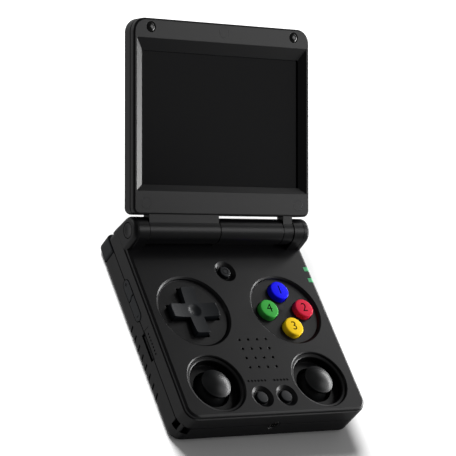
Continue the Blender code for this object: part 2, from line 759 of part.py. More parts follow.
def add_upper_shell(parent):
    shell = piece("upper_shell", stacked(body_outline(), upper_levels()), "shell_black", parent)
    cavity = inset_outline(body_outline(), SIDE_WALL)
    cut(shell, "cavity", prism(cavity, UPPER_BASE - OVERRUN, CEILING))
    trough = BARREL_RADIUS + TROUGH_CLEARANCE
    cut(shell, "trough", rod(LEFT_SEAM, RIGHT_SEAM, trough, steps=ROUND_STEPS))
    left_ear = ear(-HALF_WIDTH, LEFT_SEAM - GAP / 2, -1)
    right_ear = ear(HALF_WIDTH, RIGHT_SEAM + GAP / 2, 1)
    join(shell, "ears", left_ear, right_ear)
    knuckle_left = CENTRE_LEFT + GAP / 2
    knuckle_right = CENTRE_RIGHT - GAP / 2
    web = box(
        knuckle_left + BARREL_CHAMFER, knuckle_right - BARREL_CHAMFER,
        -KNUCKLE_WEB, KNUCKLE_WEB, CEILING + GAP, AXIS_Z,
    )
    join(shell, "web", web)
    join(shell, "knuckle", barrel(knuckle_left, knuckle_right))
    spigot = rod(CENTRE_LEFT - SPIGOT_LENGTH, knuckle_left + GAP, CARTRIDGE_RADIUS)
    join(shell, "spigot", spigot)
    cut(shell, "hinge_bores", *hinge_bores())
    well_radius = WELL_RADIUS + WELL_WALL
    well_base = WELL_FLOOR_TOP - WELL_FLOOR
    wells = [
        disc(c, well_radius, well_base, CEILING + GAP, FINE_ROUND_STEPS)
        for c in (LEFT_STICK, RIGHT_STICK)
    ]
    join(shell, "wells", *wells)
    bosses = [disc(c, BOSS_RADIUS, SEAT, CEILING + GAP, SCREW_STEPS) for c in SCREW_PLACES]
    join(shell, "bosses", *bosses)
    join(shell, "strap_corner", strap_block(UPPER_BASE, STRAP_ROOF + STRAP_WALL))
    slope_radius = DISH_RADIUS - DISH_SLOPE
    cut(
        shell, "dishes",
        cone(DPAD, slope_radius, DISH_RADIUS, DISH_FLOOR, BODY_HEIGHT, FINE_ROUND_STEPS),
        cone(FACES, slope_radius, DISH_RADIUS, DISH_FLOOR, BODY_HEIGHT, FINE_ROUND_STEPS),
        *(
            cone(c, SMALL_SEAT_RADIUS, SMALL_RIM_RADIUS, DISH_FLOOR, BODY_HEIGHT)
            for c in (SELECT, START, MENU)
        ),
    )
    step = BODY_HEIGHT - WELL_STEP_DEPTH
    rim_profile = [(WELL_RADIUS, WELL_FLOOR_TOP), (WELL_RADIUS, step - GAP), (WELL_STEP_RADIUS, step)]
    rim_profile += [(WELL_RIM_RADIUS - GAP, step), (WELL_RIM_RADIUS, BODY_HEIGHT)]
    rim_profile += [(WELL_RIM_RADIUS, BODY_HEIGHT + OVERRUN)]
    rims = [turned(rim_profile, c, steps=FINE_ROUND_STEPS) for c in (LEFT_STICK, RIGHT_STICK)]
    cut(shell, "stick_wells", *rims)
    cross_hole = cross_outline(CROSS_REACH + CROSS_CLEARANCE, CROSS_ARM_HALF + CROSS_CLEARANCE)
    low, high = CEILING - OVERRUN, BODY_HEIGHT
    holes = [prism(shift(cross_hole, DPAD), low, high)]
    for offset in FACE_OFFSETS.values():
        centre = (FACES[0] + offset[0], FACES[1] + offset[1])
        holes.append(disc(centre, FACE_RADIUS + SLIDE_GAP, low, high))
    for centre in (SELECT, START, MENU):
        holes.append(disc(centre, SMALL_RADIUS + SLIDE_GAP, low, high, 24))
    skirt_hole = skirt_hole_radius()
    for centre in (LEFT_STICK, RIGHT_STICK):
        holes.append(disc(centre, skirt_hole, well_base - OVERRUN, WELL_FLOOR_TOP + OVERRUN))
    for row in range(GRILLE_COUNT):
        for column in range(GRILLE_COUNT):
            x = GRILLE[0] + (column - (GRILLE_COUNT - 1) / 2) * GRILLE_PITCH
            y = GRILLE[1] + (row - (GRILLE_COUNT - 1) / 2) * GRILLE_PITCH
            holes.append(disc((x, y), GRILLE_HOLE_RADIUS, low, high + OVERRUN, GRILLE_SIDES))
    cut(shell, "top_holes", *holes)
    cut(shell, "side_slots", *side_button_cutters(), jack_cutter())
    cut(shell, "light_slots", *(light_slot(share) for share in LIGHT_ALONG_shares))
    rear = (BODY_REAR - SIDE_WALL - OVERRUN, BODY_REAR + OVERRUN)
    margin = 2 * SLIDE_GAP
    ports = [
        prism(slot_outline(x, PORT_Z, width + margin, CHARGE_PORT_HEIGHT + margin), *rear, along_y)
        for x, width in PORTS.values()
    ]
    cut(shell, "port_slots", *ports)
    bore = SCREW_SHANK_RADIUS + SLIDE_GAP
    bores = [disc(c, bore, SEAT - OVERRUN, SEAT + SCREW_REACH, 8) for c in SCREW_PLACES]
    cut(shell, "screw_bores", *bores)
    cut(shell, "strap_pocket", strap_pocket(UPPER_BASE - OVERRUN, STRAP_ROOF))
    bar_base = STRAP_BASE - STRAP_SEAT + GAP
    join(shell, "strap_bar", disc(strap_bar_place(), STRAP_BAR_RADIUS, bar_base, STRAP_ROOF + GAP, 16))


def hinge_bores():
    """Bores in the ears and the centre knuckle for the caps, shaft and pin."""
    cap = CAP_RADIUS + SLIDE_GAP
    shaft = SHAFT_RADIUS + SLIDE_GAP
    cap_floor = HALF_WIDTH - CAP_THICKNESS - GAP
    return [
        rod(-HALF_WIDTH - OVERRUN, -cap_floor, cap),
        rod(cap_floor, HALF_WIDTH + OVERRUN, cap),
        rod(LEFT_SEAM - SHAFT_BITE - GAP, LEFT_SEAM + OVERRUN, shaft),
        rod(RIGHT_SEAM - OVERRUN, RIGHT_SEAM + SHAFT_BITE + GAP, shaft),
        rod(CENTRE_RIGHT - PIN_BITE - GAP, CENTRE_RIGHT + OVERRUN, shaft),
    ]


def skirt_hole_radius():
    """The hole in a well's floor: just wider than the stick's round skirt is there."""
    height = WELL_FLOOR_TOP - WELL_FLOOR - STICK_PIVOT
    return math.sqrt(STICK_SKIRT_RADIUS**2 - height**2) + SKIRT_CLEARANCE


def light_slot(along_share):
    y = -along_share * BODY_FRONT
    half = LIGHT_WIDTH / 2 + LIGHT_GAP
    return box(
        HALF_WIDTH - LIGHT_LENGTH - LIGHT_GAP, HALF_WIDTH + OVERRUN, y - half, y + half,
        BODY_HEIGHT - LIGHT_DROP - LIGHT_GAP, BODY_HEIGHT + OVERRUN,
    )


def strap_bar_place():
    """The bar stands just inside the rounded corner."""
    reach = (FRONT_CORNER - STRAP_BAR_RADIUS - FLUSH_SETBACK) * math.sqrt(0.5)
    return (STRAP_CORNER[0] + FRONT_CORNER - reach, STRAP_CORNER[1] + FRONT_CORNER - reach)


def grip_groove(along, side):
    """One slanting notch, cut into the lower edge of a side wall."""
    lean = GROOVE_LEAN * (OVERRUN / GROOVE_HEIGHT)
    low = [(along - lean, -OVERRUN), (along - lean + GROOVE_WIDTH, -OVERRUN)]
    top = along + GROOVE_LEAN
    outline = low + [(top + GROOVE_WIDTH, GROOVE_HEIGHT), (top, GROOVE_HEIGHT)]
    inner = side * (HALF_WIDTH - GROOVE_DEPTH)
    outer = side * (HALF_WIDTH + OVERRUN)
    return prism(outline, min(inner, outer), max(inner, outer), along_x)


def add_lower_shell(parent):
    levels = rounded_base(0, BOTTOM_FILLET) + [(0, LOWER_TOP)]
    shell = piece("lower_shell", stacked(body_outline(), levels), "shell_black", parent)
    cavity = inset_outline(body_outline(), SIDE_WALL)
    cut(shell, "cavity", prism(cavity, FLOOR_WALL, LOWER_TOP + OVERRUN))
    posts = [disc(c, POST_RADIUS, FLOOR_WALL - GAP, BOARD_BASE - GAP, SCREW_STEPS) for c in SCREW_PLACES]
    join(shell, "posts", *posts)
    inner_front = POCKET_FRONT - POCKET_WALL
    inner_side = POCKET_INNER - POCKET_WALL
    block = box(
        inner_side, INNER_HALF + GAP, inner_front, BODY_REAR - SIDE_WALL + GAP,
        FLOOR_WALL - GAP, LOWER_TOP - GAP,
    )
    corner = strap_block(FLOOR_WALL - GAP, LOWER_TOP - GAP)
    join(shell, "inner_walls", block, mirrored(block), corner)
    pocket = box(
        POCKET_INNER, HALF_WIDTH + OVERRUN, POCKET_FRONT, BODY_REAR + OVERRUN,
        SHOULDER_BASE - GAP, LOWER_TOP + OVERRUN,
    )
    cut(shell, "pockets", pocket, mirrored(pocket), strap_pocket(STRAP_BASE, LOWER_TOP + OVERRUN))
    stem_bore = STEM_RADIUS + SLIDE_GAP
    stem_holes = [
        turned([(stem_bore, inner_front - OVERRUN), (stem_bore, 0)], (x, STEM_Z), along_y, 16)
        for side in (-1, 1)
        for x in (side * STEM_PLACES[0], side * STEM_PLACES[1])
    ]
    scoop = box(
        -HALF_WIDTH - OVERRUN, -HALF_WIDTH + SCOOP_DEPTH, CARD_CENTRE - SCOOP_LENGTH / 2,
        CARD_CENTRE + SCOOP_LENGTH / 2, CARD_Z - SCOOP_DROP, LOWER_TOP + OVERRUN,
    )
    cut(shell, "side_slots", *side_button_cutters(), card_slot_cutter(), jack_cutter())
    cut(shell, "scoop", scoop, *stem_holes)
    first = -GROOVE_FIRST_share * BODY_FRONT
    grooves = [grip_groove(first - i * GROOVE_PITCH, side) for side in (-1, 1) for i in range(GROOVE_COUNT)]
    cut(shell, "grip_grooves", *grooves)
    heads = SCREW_SINK + SCREW_HEAD_HEIGHT + GAP
    bore = SCREW_SHANK_RADIUS + SLIDE_GAP
    cut(shell, "screw_bores", *(disc(c, bore, 0, BOARD_BASE, 8) for c in SCREW_PLACES))
    sink = SCREW_HEAD_RADIUS + SLIDE_GAP
    cut(shell, "screw_heads", *(disc(c, sink, -OVERRUN, heads, 16) for c in SCREW_PLACES))
    bar_bore = STRAP_BAR_RADIUS + SLIDE_GAP
    seat = disc(strap_bar_place(), bar_bore, STRAP_BASE - STRAP_SEAT, STRAP_BASE + OVERRUN, 12)
    cut(shell, "strap_seat", seat)


def add_base_fittings(parent):
    """What is fixed in the base: screws, light guide, hinge caps, shaft and pin."""
    profile = [
        (0, SCREW_SINK), (SCREW_HEAD_RADIUS, SCREW_SINK), (SCREW_HEAD_RADIUS, SCREW_SINK + SCREW_HEAD_HEIGHT),
        (SCREW_SHANK_RADIUS, SCREW_SINK + SCREW_HEAD_HEIGHT),
        (SCREW_SHANK_RADIUS, SEAT + SCREW_REACH - GAP), (0, SEAT + SCREW_REACH - GAP),
    ]
    for number, place in enumerate(SCREW_PLACES, 1):
        screw = turned(profile, place, steps=SCREW_STEPS)
        piece("case_screw_" + str(number), screw, "steel", parent)
    left, low = HALF_WIDTH - LIGHT_LENGTH, BODY_HEIGHT - LIGHT_DROP
    outline = [(HALF_WIDTH - inset, height) for inset, height in upper_levels()]
    outline = [(left, low), (HALF_WIDTH, low)] + [p for p in outline if p[1] > UPPER_BASE]
    outline.append((left, BODY_HEIGHT))
    ends = [-share * BODY_FRONT for share in LIGHT_ALONG_shares]
    half = LIGHT_WIDTH / 2
    windows = [prism(outline, y - half, y + half, along_y) for y in ends]
    guide = piece("light_guide", windows[0], "light_green", parent)
    join(guide, "second_window", windows[1])
    bridge = box(left, left + LIGHT_BRIDGE, min(ends), max(ends), low + GAP, CEILING - GAP)
    join(guide, "bridge", bridge)
    cap_inner = HALF_WIDTH - FLUSH_SETBACK
    cap_levels = [(CAP_RADIUS, -cap_inner + CAP_THICKNESS), (CAP_RADIUS, -cap_inner + BARREL_CHAMFER)]
    cap_levels += [(CAP_RADIUS - BARREL_CHAMFER, -cap_inner)]
    cap = turned(cap_levels, (0, AXIS_Z), along_x)
    piece("hinge_cap_left", cap, "shell_black", parent)
    piece("hinge_cap_right", mirrored(cap), "shell_black", parent)
    shaft_end = LEFT_SEAM + GAP + CARTRIDGE_LENGTH - SHAFT_BITE
    piece("hinge_shaft", rod(LEFT_SEAM - SHAFT_BITE, shaft_end, SHAFT_RADIUS), "steel", parent)
    piece("hinge_pin", rod(CENTRE_RIGHT - PIN_BITE, RIGHT_SEAM + SHAFT_BITE, SHAFT_RADIUS), "steel", parent)


def board_outline():
    half = INNER_HALF - BOARD_SIDE_MARGIN
    front = -INNER_FRONT + BOARD_FRONT_MARGIN
    tongue = TONGUE_HALF_WIDTH
    rear = BODY_REAR - SIDE_WALL - TONGUE_MARGIN
    return [
        (-half, front), (half, front), (half, -BOARD_REAR), (tongue, -BOARD_REAR),
        (tongue, rear), (-tongue, rear), (-tongue, -BOARD_REAR), (-half, -BOARD_REAR),
    ]


def add_electronics(parent):
    board = piece("main_board", prism(board_outline(), BOARD_BASE, BOARD_TOP), "board_green", parent)
    low, high = BOARD_BASE - OVERRUN, BOARD_TOP + OVERRUN
    stick_hole = STICK_SKIRT_RADIUS + 2 * SKIRT_CLEARANCE
    holes = [disc(c, stick_hole, low, high) for c in (LEFT_STICK, RIGHT_STICK)]
    holes += [disc(c, SCREW_SHANK_RADIUS + SLIDE_GAP, low, high, 8) for c in SCREW_PLACES]
    half = JACK_HALF + GAP
    jack_end = -INNER_FRONT + JACK_LENGTH + GAP
    holes.append(box(JACK_ACROSS - half, JACK_ACROSS + half, -BODY_FRONT, jack_end, low, high))
    holes.append(strap_block(low, high, GAP))
    cut(board, "holes", *holes)
    join(board, "switches", *board_switches())
    battery_half = CARD_REACH - SOCKET_WALL - BATTERY_SIDE_CLEARANCE
    battery_front = LEFT_STICK[1] + HOUSING_HALF + BATTERY_FRONT_CLEARANCE
    battery = rounded_rectangle(-battery_half, battery_half, battery_front, -BATTERY_REAR, BATTERY_CORNER)
    battery_top = BOARD_BASE - BATTERY_MARGIN
    piece("battery_pack", prism(battery, FLOOR_WALL + GAP, battery_top), "battery_silver", parent)
    speaker_top = CEILING - GAP
    middle = (SEAT + speaker_top) / 2
    profile = [(SPEAKER_MAGNET_RADIUS, SEAT), (SPEAKER_MAGNET_RADIUS, middle)]
    profile += [(SPEAKER_RADIUS, middle), (SPEAKER_RADIUS, speaker_top)]
    piece("speaker_unit", turned(profile, GRILLE), "steel", parent)
    add_membranes(parent)
    add_ports(parent)


def board_switches():
    """Switches soldered to the board: menu on top, side and shoulder switches hanging below."""
    half = MENU_SWITCH_HALF
    menu_top = menu_flange_base() - SMALL_TRAVEL - TRAVEL_MARGIN
    x, y = MENU
    switches = [box(x - half, x + half, y - half, y + half, BOARD_TOP - GAP, menu_top)]
    half = SWITCH_LENGTH / 2
    top = BOARD_BASE + GAP
    reach = INNER_HALF - GAP - KEY_FLANGE_DEPTH - KEY_TRAVEL - TRAVEL_MARGIN
    for side, y in (
        (-1, VOLUME_CENTRE + VOLUME_LENGTH / 4), (-1, VOLUME_CENTRE - VOLUME_LENGTH / 4),
        (1, POWER_CENTRE), (1, RESET_CENTRE),
    ):
        x0, x1 = sorted((side * reach, side * (reach - SWITCH_DEPTH)))
        switches.append(box(x0, x1, y - half, y + half, BOARD_BASE - SWITCH_HEIGHT, top))
    tip = -SHOULDER_FRONT - STEM_REACH - SHOULDER_TRAVEL - TRAVEL_MARGIN
    for x in (-STEM_PLACES[0], -STEM_PLACES[1], STEM_PLACES[1], STEM_PLACES[0]):
        switches.append(box(x - half, x + half, tip - SWITCH_DEPTH, tip, STEM_Z - SWITCH_HEIGHT, top))
    return switches


def face_flange_base():
    return CEILING - GAP - FACE_FLANGE


def menu_flange_base():
    return CEILING - GAP - SMALL_FLANGE


def cross_flange_base():
    return CEILING - CROSS_HEADROOM - CROSS_FLANGE


def membrane_dome(centre, low, high, radius=MEMBRANE_DOME_RADIUS):
    profile = [(radius, low - GAP), (radius, low), (radius / 2, high), (0, high)]
    return turned(profile, centre, steps=16)


def add_membranes(parent):
    """Silicone keypads under the buttons, each a sheet with a dome for every contact."""
    sheet_top = SEAT + MEMBRANE_SHEET
    dome_top = face_flange_base() - FACE_TRAVEL - TRAVEL_MARGIN
    radius = FACE_SPREAD + FACE_FLANGE_RADIUS + MEMBRANE_MARGIN
    faces = piece("face_membrane", disc(FACES, radius, SEAT, sheet_top), "silicone_grey", parent)
    centres = [(FACES[0] + u, FACES[1] + v) for u, v in FACE_OFFSETS.values()]
    join(faces, "domes", *(membrane_dome(c, sheet_top, dome_top) for c in centres))
    thin_top = SEAT + MEMBRANE_SHEET / 2
    dome_top = thin_top + GAP
    radius = CROSS_FLANGE_RADIUS + MEMBRANE_MARGIN
    pad = piece("dpad_membrane", disc(DPAD, radius, SEAT, thin_top), "silicone_grey", parent)
    reach = CROSS_REACH - MEMBRANE_DOME_RADIUS
    spots = ((0, reach), (-reach, 0), (reach, 0), (0, -reach))
    join(pad, "domes", *(membrane_dome((DPAD[0] + u, DPAD[1] + v), thin_top, dome_top) for u, v in spots))
    cut(pad, "pivot_hole", disc(DPAD, PIVOT_HOLE_RADIUS, SEAT - OVERRUN, thin_top + OVERRUN, 20))
    half_depth = SMALL_MEMBRANE_DEPTH / 2
    half_width = START[0] + SMALL_FLANGE_RADIUS + MEMBRANE_MARGIN
    outline = rounded_rectangle(
        -half_width, half_width, START[1] - half_depth, START[1] + half_depth, BATTERY_CORNER, steps=3
    )
    dome_top = menu_flange_base() - SMALL_TRAVEL - TRAVEL_MARGIN
    small = piece("small_button_membrane", prism(outline, SEAT, sheet_top), "silicone_grey", parent)
    join(small, "domes", *(membrane_dome(c, sheet_top, dome_top, SMALL_RADIUS) for c in (SELECT, START)))


def add_ports(parent):
    """Headphone jack in the front wall, charging and video ports in the rear wall, card socket."""
    front = -INNER_FRONT + GAP
    half = JACK_HALF
    low, high = JACK_Z - half, JACK_Z + half
    body = box(JACK_ACROSS - half, JACK_ACROSS + half, front, front + JACK_LENGTH - GAP, low, high)
    jack = piece("headphone_jack", body, "rubber_black", parent)
    nose = [(JACK_NOSE_RADIUS, -BODY_FRONT + FLUSH_SETBACK), (JACK_NOSE_RADIUS, front + GAP)]
    join(jack, "nose", turned(nose, (JACK_ACROSS, JACK_Z), along_y, 24))
    bore = [(JACK_BORE_RADIUS, -BODY_FRONT - OVERRUN), (JACK_BORE_RADIUS, front + JACK_LENGTH - PORT_BLIND)]
    cut(jack, "bore", turned(bore, (JACK_ACROSS, JACK_Z), along_y, 20))
    mouth = BODY_REAR - PORT_SETBACK
    back = mouth - PORT_DEPTH
    for name, (x, width) in PORTS.items():
        height = CHARGE_PORT_HEIGHT
        outline = slot_outline(x, PORT_Z, width, height, 3)
        port = piece(name, prism(outline, back, mouth, along_y), "steel", parent)
        inner = slot_outline(x, PORT_Z, width - 2 * PORT_SHELL, height - 2 * PORT_SHELL, 3)
        cut(port, "mouth", prism(inner, back + PORT_BLIND, mouth + OVERRUN, along_y))
        tongue_half = width / 2 - height / 2
        tongue = box(
            x - tongue_half, x + tongue_half, back + PORT_BLIND / 2, mouth - PORT_TONGUE,
            PORT_Z - PORT_TONGUE / 2, PORT_Z + PORT_TONGUE / 2,
        )
        join(port, "tongue", tongue)
    wall = SOCKET_WALL
    half = CARD_WIDTH / 2 + SLIDE_GAP
    inner = -INNER_HALF + GAP
    end = -CARD_REACH
    low, high = CARD_Z - CARD_THICKNESS / 2 - SLIDE_GAP, CARD_Z + CARD_THICKNESS / 2 + SLIDE_GAP
    body = box(
        inner, end + wall, CARD_CENTRE - half - wall, CARD_CENTRE + half + wall,
        low - wall, high + wall,
    )
    socket = piece("card_socket", body, "steel", parent)
    cut(socket, "mouth", box(inner - OVERRUN, end, CARD_CENTRE - half, CARD_CENTRE + half, low, high))


def add_direction_pad(parent):
    """The pad rocks on a round-topped pivot: the pivot tilts fore and aft, the pad sideways on it."""
    flange_base = cross_flange_base()
    pivot_top = flange_base - GAP
    rock = empty("dpad_axes", parent, (*DPAD, pivot_top - PIVOT_DROP))
    base = rock.location[2]
    low = BOARD_TOP + GAP + TRAVEL_MARGIN - base
    crown = pivot_top - base
    profile = [(0, low), (PIVOT_RADIUS, low), (PIVOT_RADIUS, 0), (PIVOT_RADIUS / 2, crown), (0, crown)]
    piece("dpad_pivot", turned(profile, steps=16), "silicone_grey", rock)
    top = BODY_HEIGHT + CROSS_RISE - base
    flange = flange_base - base
    levels = [(0, flange + CROSS_FLANGE / 2), (0, top - CROSS_FILLET), (CROSS_FILLET, top)]
    cross = stacked(cross_outline(CROSS_REACH, CROSS_ARM_HALF), levels)
    pad = piece("direction_pad", cross, "key_black", rock)
    join(pad, "flange", disc((0, 0), CROSS_FLANGE_RADIUS, flange, flange + CROSS_FLANGE))
    hollow = cap_of_sphere(CROSS_REACH + GAP, CROSS_HOLLOW, top)
    dimple = cap_of_sphere(CROSS_DIMPLE_RADIUS, CROSS_DIMPLE_DEPTH, top - CROSS_HOLLOW)
    cut(pad, "hollow", hollow)
    cut(pad, "dimple", dimple)


def cap_of_sphere(radius, depth, top, rings=4, steps=24):
    """A shallow bowl that cuts down by depth at its middle and reaches radius at the height top."""
    sphere = (radius**2 + depth**2) / (2 * depth)
    profile = [(0, top - depth)]
    for i in range(1, rings + 1):
        r = radius * i / rings
        profile.append((r, top - depth + sphere - math.sqrt(sphere**2 - r**2)))
    profile += [(radius + OVERRUN, top + OVERRUN), (0, top + OVERRUN)]
    return turned(profile, steps=steps)


def add_face_buttons(parent):
    flange = face_flange_base()
    top = BODY_HEIGHT + FACE_RISE
    colours = dict(zip(FACE_OFFSETS, ("button_blue", "button_green", "button_red", "button_yellow")))
    for name, (u, v) in FACE_OFFSETS.items():
        profile = [(0, 0), (FACE_FLANGE_RADIUS, 0)]
        profile += [(FACE_FLANGE_RADIUS, FACE_FLANGE), (FACE_RADIUS, FACE_FLANGE)]
        profile += [(FACE_RADIUS - inset, height) for inset, height in rounded_top(top - flange, FACE_FILLET)]
        profile += [(0, top - flange)]
        piece(name, turned(profile), colours[name], parent, (FACES[0] + u, FACES[1] + v, flange))


def add_small_buttons(parent):
    flange = menu_flange_base()
    for name, centre, sink in (
        ("select_button", SELECT, SMALL_SINK), ("start_button", START, SMALL_SINK), ("menu_button", MENU, 0),
    ):
        top = BODY_HEIGHT - sink - flange
        profile = [(0, 0), (SMALL_FLANGE_RADIUS, 0)]
        profile += [(SMALL_FLANGE_RADIUS, SMALL_FLANGE), (SMALL_RADIUS, SMALL_FLANGE)]
        profile += [(SMALL_RADIUS - inset, height) for inset, height in rounded_top(top, SMALL_FILLET, 0, 2)]
        profile += [(0, top)]
        piece(name, turned(profile, steps=24), "key_black", parent, (*centre, flange))


def stick_shape():
    """Cap, neck, round skirt, shaft and ball in one, drawn round the pivot."""
    rim = STICK_PIVOT_DROP
    base = rim - STICK_CAP_EDGE
    outer, inner = STICK_SKIRT_RADIUS, STICK_SKIRT_RADIUS - STICK_SKIRT_WALL
    ball_join = math.acos(STICK_SHAFT_RADIUS / STICK_BALL_RADIUS)
    profile = [(0, -STICK_BALL_RADIUS)]
    for i in range(1, 4):
        turn = -math.pi / 2 + (math.pi / 2 + ball_join) * i / 3
        profile.append((STICK_BALL_RADIUS * math.cos(turn), STICK_BALL_RADIUS * math.sin(turn)))
    inner_start = math.asin(STICK_SHAFT_RADIUS / inner)
    outer_start = math.asin(STICK_NECK_RADIUS / outer)
    for i in range(5):
        turn = inner_start + (STICK_SKIRT_ANGLE - inner_start) * i / 4
        profile.append((inner * math.sin(turn), inner * math.cos(turn)))
    for i in range(5):
        turn = STICK_SKIRT_ANGLE + (outer_start - STICK_SKIRT_ANGLE) * i / 4
        profile.append((outer * math.sin(turn), outer * math.cos(turn)))
    cap, fillet = STICK_CAP_RADIUS, STICK_CAP_FILLET
    profile += [(STICK_NECK_RADIUS, base), (cap - fillet, base), (cap, base + fillet), (cap, rim - fillet)]
    dome_radius = cap - fillet / 2
    sphere = (dome_radius**2 + STICK_CAP_DOME**2) / (2 * STICK_CAP_DOME)
    for i in range(4):
        r = dome_radius * (4 - i) / 4
        profile.append((r, rim + STICK_CAP_DOME - sphere + math.sqrt(sphere**2 - r**2)))
    profile.append((0, rim + STICK_CAP_DOME))
    return turned(profile, steps=20)


def add_stick(side, centre, parent):
    """One stick: the ring tilts fore and aft in its housing, the stick tilts sideways in the ring."""
    axes = empty("stick_axes_" + side, parent, (*centre, STICK_PIVOT))
    pin_half = GIMBAL_BORE - GAP
    stick = piece("stick_" + side, stick_shape(), "rubber_black", axes)
    pin = [(STICK_CROSS_PIN_RADIUS, -pin_half), (STICK_CROSS_PIN_RADIUS, pin_half)]
    join(stick, "cross_pin", turned(pin, (0, 0), along_y, 12))
    half = GIMBAL_THICKNESS / 2
    ring = [(GIMBAL_BORE, -half), (GIMBAL_RADIUS, -half), (GIMBAL_RADIUS, half), (GIMBAL_BORE, half)]
    gimbal = piece("stick_gimbal_" + side, turned(ring, steps=24, ring=True), "steel", axes)
    bite = GIMBAL_RADIUS - GAP
    trunnion = rod(bite, TRUNNION_REACH, TRUNNION_RADIUS, (0, 0), 12)
    join(gimbal, "trunnions", trunnion, mirrored(trunnion))
    base = FLOOR_WALL + GAP - STICK_PIVOT
    plate = box(-HOUSING_HALF, HOUSING_HALF, -HOUSING_HALF, HOUSING_HALF, base, base + HOUSING_HEIGHT)
    housing = piece("stick_housing_" + side, plate, "steel", axes)
    post_inner = GIMBAL_RADIUS + GAP
    notch = TRUNNION_RADIUS + GAP
    width = notch + HOUSING_POST
    post_outer = post_inner + HOUSING_POST
    post = box(post_inner, post_outer, -width, width, base + HOUSING_HEIGHT / 2, TRUNNION_RADIUS)
    join(housing, "posts", post, mirrored(post))
    top = TRUNNION_RADIUS + OVERRUN
    opening = box(post_inner - OVERRUN, post_outer + OVERRUN, -notch, notch, -notch, top)
    cut(housing, "notches", opening, mirrored(opening))


def volume_half(sign):
    """One half of the volume slot, ended by a leaning wave; sign is 1 for the rear half."""
    whole = volume_outline(SLIDE_GAP)
    half = VOLUME_HEIGHT / 2 - SLIDE_GAP
    edge = VOLUME_CENTRE + KEY_SPLIT_SHIFT + sign * KEY_SPLIT / 2
    lean = KEY_SPLIT_LEAN / 2
    kept = [p for p in whole if (p[0] - VOLUME_CENTRE) * sign > half]
    wave = [(lean, half), (lean, half / 3), (-lean, -half / 3), (-lean, -half)]
    points = [(edge + u, SEAM + v) for u, v in wave]
    return kept + (points if sign > 0 else points[::-1])


def add_side_keys(parent):
    """Volume keys on the left, power and reset buttons on the right. Each slides into its wall."""
    power = inset_outline(slot_outline(POWER_CENTRE, SEAM, POWER_LENGTH, POWER_HEIGHT), SLIDE_GAP)
    reset = inset_outline(circle((RESET_CENTRE, SEAM), RESET_LENGTH / 2, 20), SLIDE_GAP)
    quarter = VOLUME_LENGTH / 4
    keys = {
        "volume_up_key": (-1, volume_half(1), VOLUME_CENTRE + quarter, quarter - KEY_SPLIT_SHIFT - KEY_SPLIT),
        "volume_down_key": (-1, volume_half(-1), VOLUME_CENTRE - quarter, quarter - KEY_SPLIT),
        "power_button": (1, power, POWER_CENTRE, POWER_LENGTH / 2 - GAP),
        "reset_button": (1, reset, RESET_CENTRE, RESET_LENGTH / 2 - GAP),
    }
    for name, (side, outline, y, lip_half) in keys.items():
        local = [(u - y, v - SEAM) for u, v in outline]
        wall = side * HALF_WIDTH
        face = side * KEY_PROUD
        lip_front = side * (INNER_HALF - GAP) - wall
        lip_back = lip_front - side * KEY_FLANGE_DEPTH
        middle = (lip_front + lip_back) / 2
        levels = [(0, middle), (0, face - side * KEY_FILLET), (KEY_FILLET, face)]
        key = piece(name, stacked(local, levels, along_x), "key_black", parent, (wall, y, SEAM))
        height = max(v for u, v in local) + KEY_FLANGE
        x0, x1 = sorted((lip_front, lip_back))
        join(key, "lip", box(x0, x1, -lip_half, lip_half, -height, height))


def add_shoulder_buttons(parent):
    """Two buttons in each rear corner. Each slides forwards into its pocket."""
    low = SHOULDER_BASE
    high = LOWER_TOP - GAP / 2
    for side_name, side in (("left", -1), ("right", 1)):
        outer = HALF_WIDTH - FLUSH_SETBACK
        split = HALF_WIDTH - SHOULDER_OUTER_WIDTH
        inner = split - SHOULDER_SPLIT
        far = inner - SHOULDER_INNER_WIDTH
        spans = {
            "outer": (split, outer, SHOULDER_PROUD, SHOULDER_CORNER, STEM_PLACES[0]),
            "inner": (far, inner, SHOULDER_INNER_PROUD, SHOULDER_INNER_CORNER, STEM_PLACES[1]),
        }
        for place_name, (x0, x1, proud, corner, stem_x) in spans.items():
            rear = BODY_REAR + proud
            front = -SHOULDER_FRONT
            outline = [(x0, front), (x1, front)]
            outline += arc((x1 - corner, rear - corner), corner, 0, 90, CORNER_STEPS)
            small = SHOULDER_INNER_CORNER
            outline += arc((x0 + small, rear - small), small, 90, 180, 3)
            local = [(u - stem_x, v) for u, v in outline]
            fillet = SHOULDER_FILLET
            levels = rounded_base(low - STEM_Z, fillet, 0, 2) + rounded_top(high - STEM_Z, fillet, 0, 2)
            body = stacked(local, levels)
            stem = turned([(STEM_RADIUS, front - STEM_REACH), (STEM_RADIUS, 0)], (0, 0), along_y, 12)
            if side < 0:
                body = mirrored(body)
            name = "shoulder_" + side_name + "_" + place_name
            button = piece(name, body, "key_black", parent, (side * stem_x, 0, STEM_Z))
            join(button, "stem", stem)


def add_memory_card(parent):
    half = CARD_WIDTH / 2
    far = CARD_SETBACK + CARD_LENGTH
    outline = rounded_rectangle(-half, half, CARD_SETBACK, far, CARD_THICKNESS, steps=3)
    card = prism([(v, u) for u, v in outline], -CARD_THICKNESS / 2, CARD_THICKNESS / 2)
    piece("memory_card", card, "key_black", parent, (-HALF_WIDTH, CARD_CENTRE, CARD_Z))


def lid_outline(inset=0):
    outline = rounded_rectangle(
        -HALF_WIDTH, HALF_WIDTH, LID_FOOT, LID_TOP, LID_BOTTOM_CORNER, LID_TOP_CORNER
    )
    return inset_outline(outline, inset)


def screen_rectangle(side, bottom, top):
    """A rectangle on the lid, from margins measured from its outside edges."""
    low, high = LID_FOOT + bottom, LID_TOP - top
    across = HALF_WIDTH - side
    return [(-across, low), (across, low), (across, high), (-across, high)]


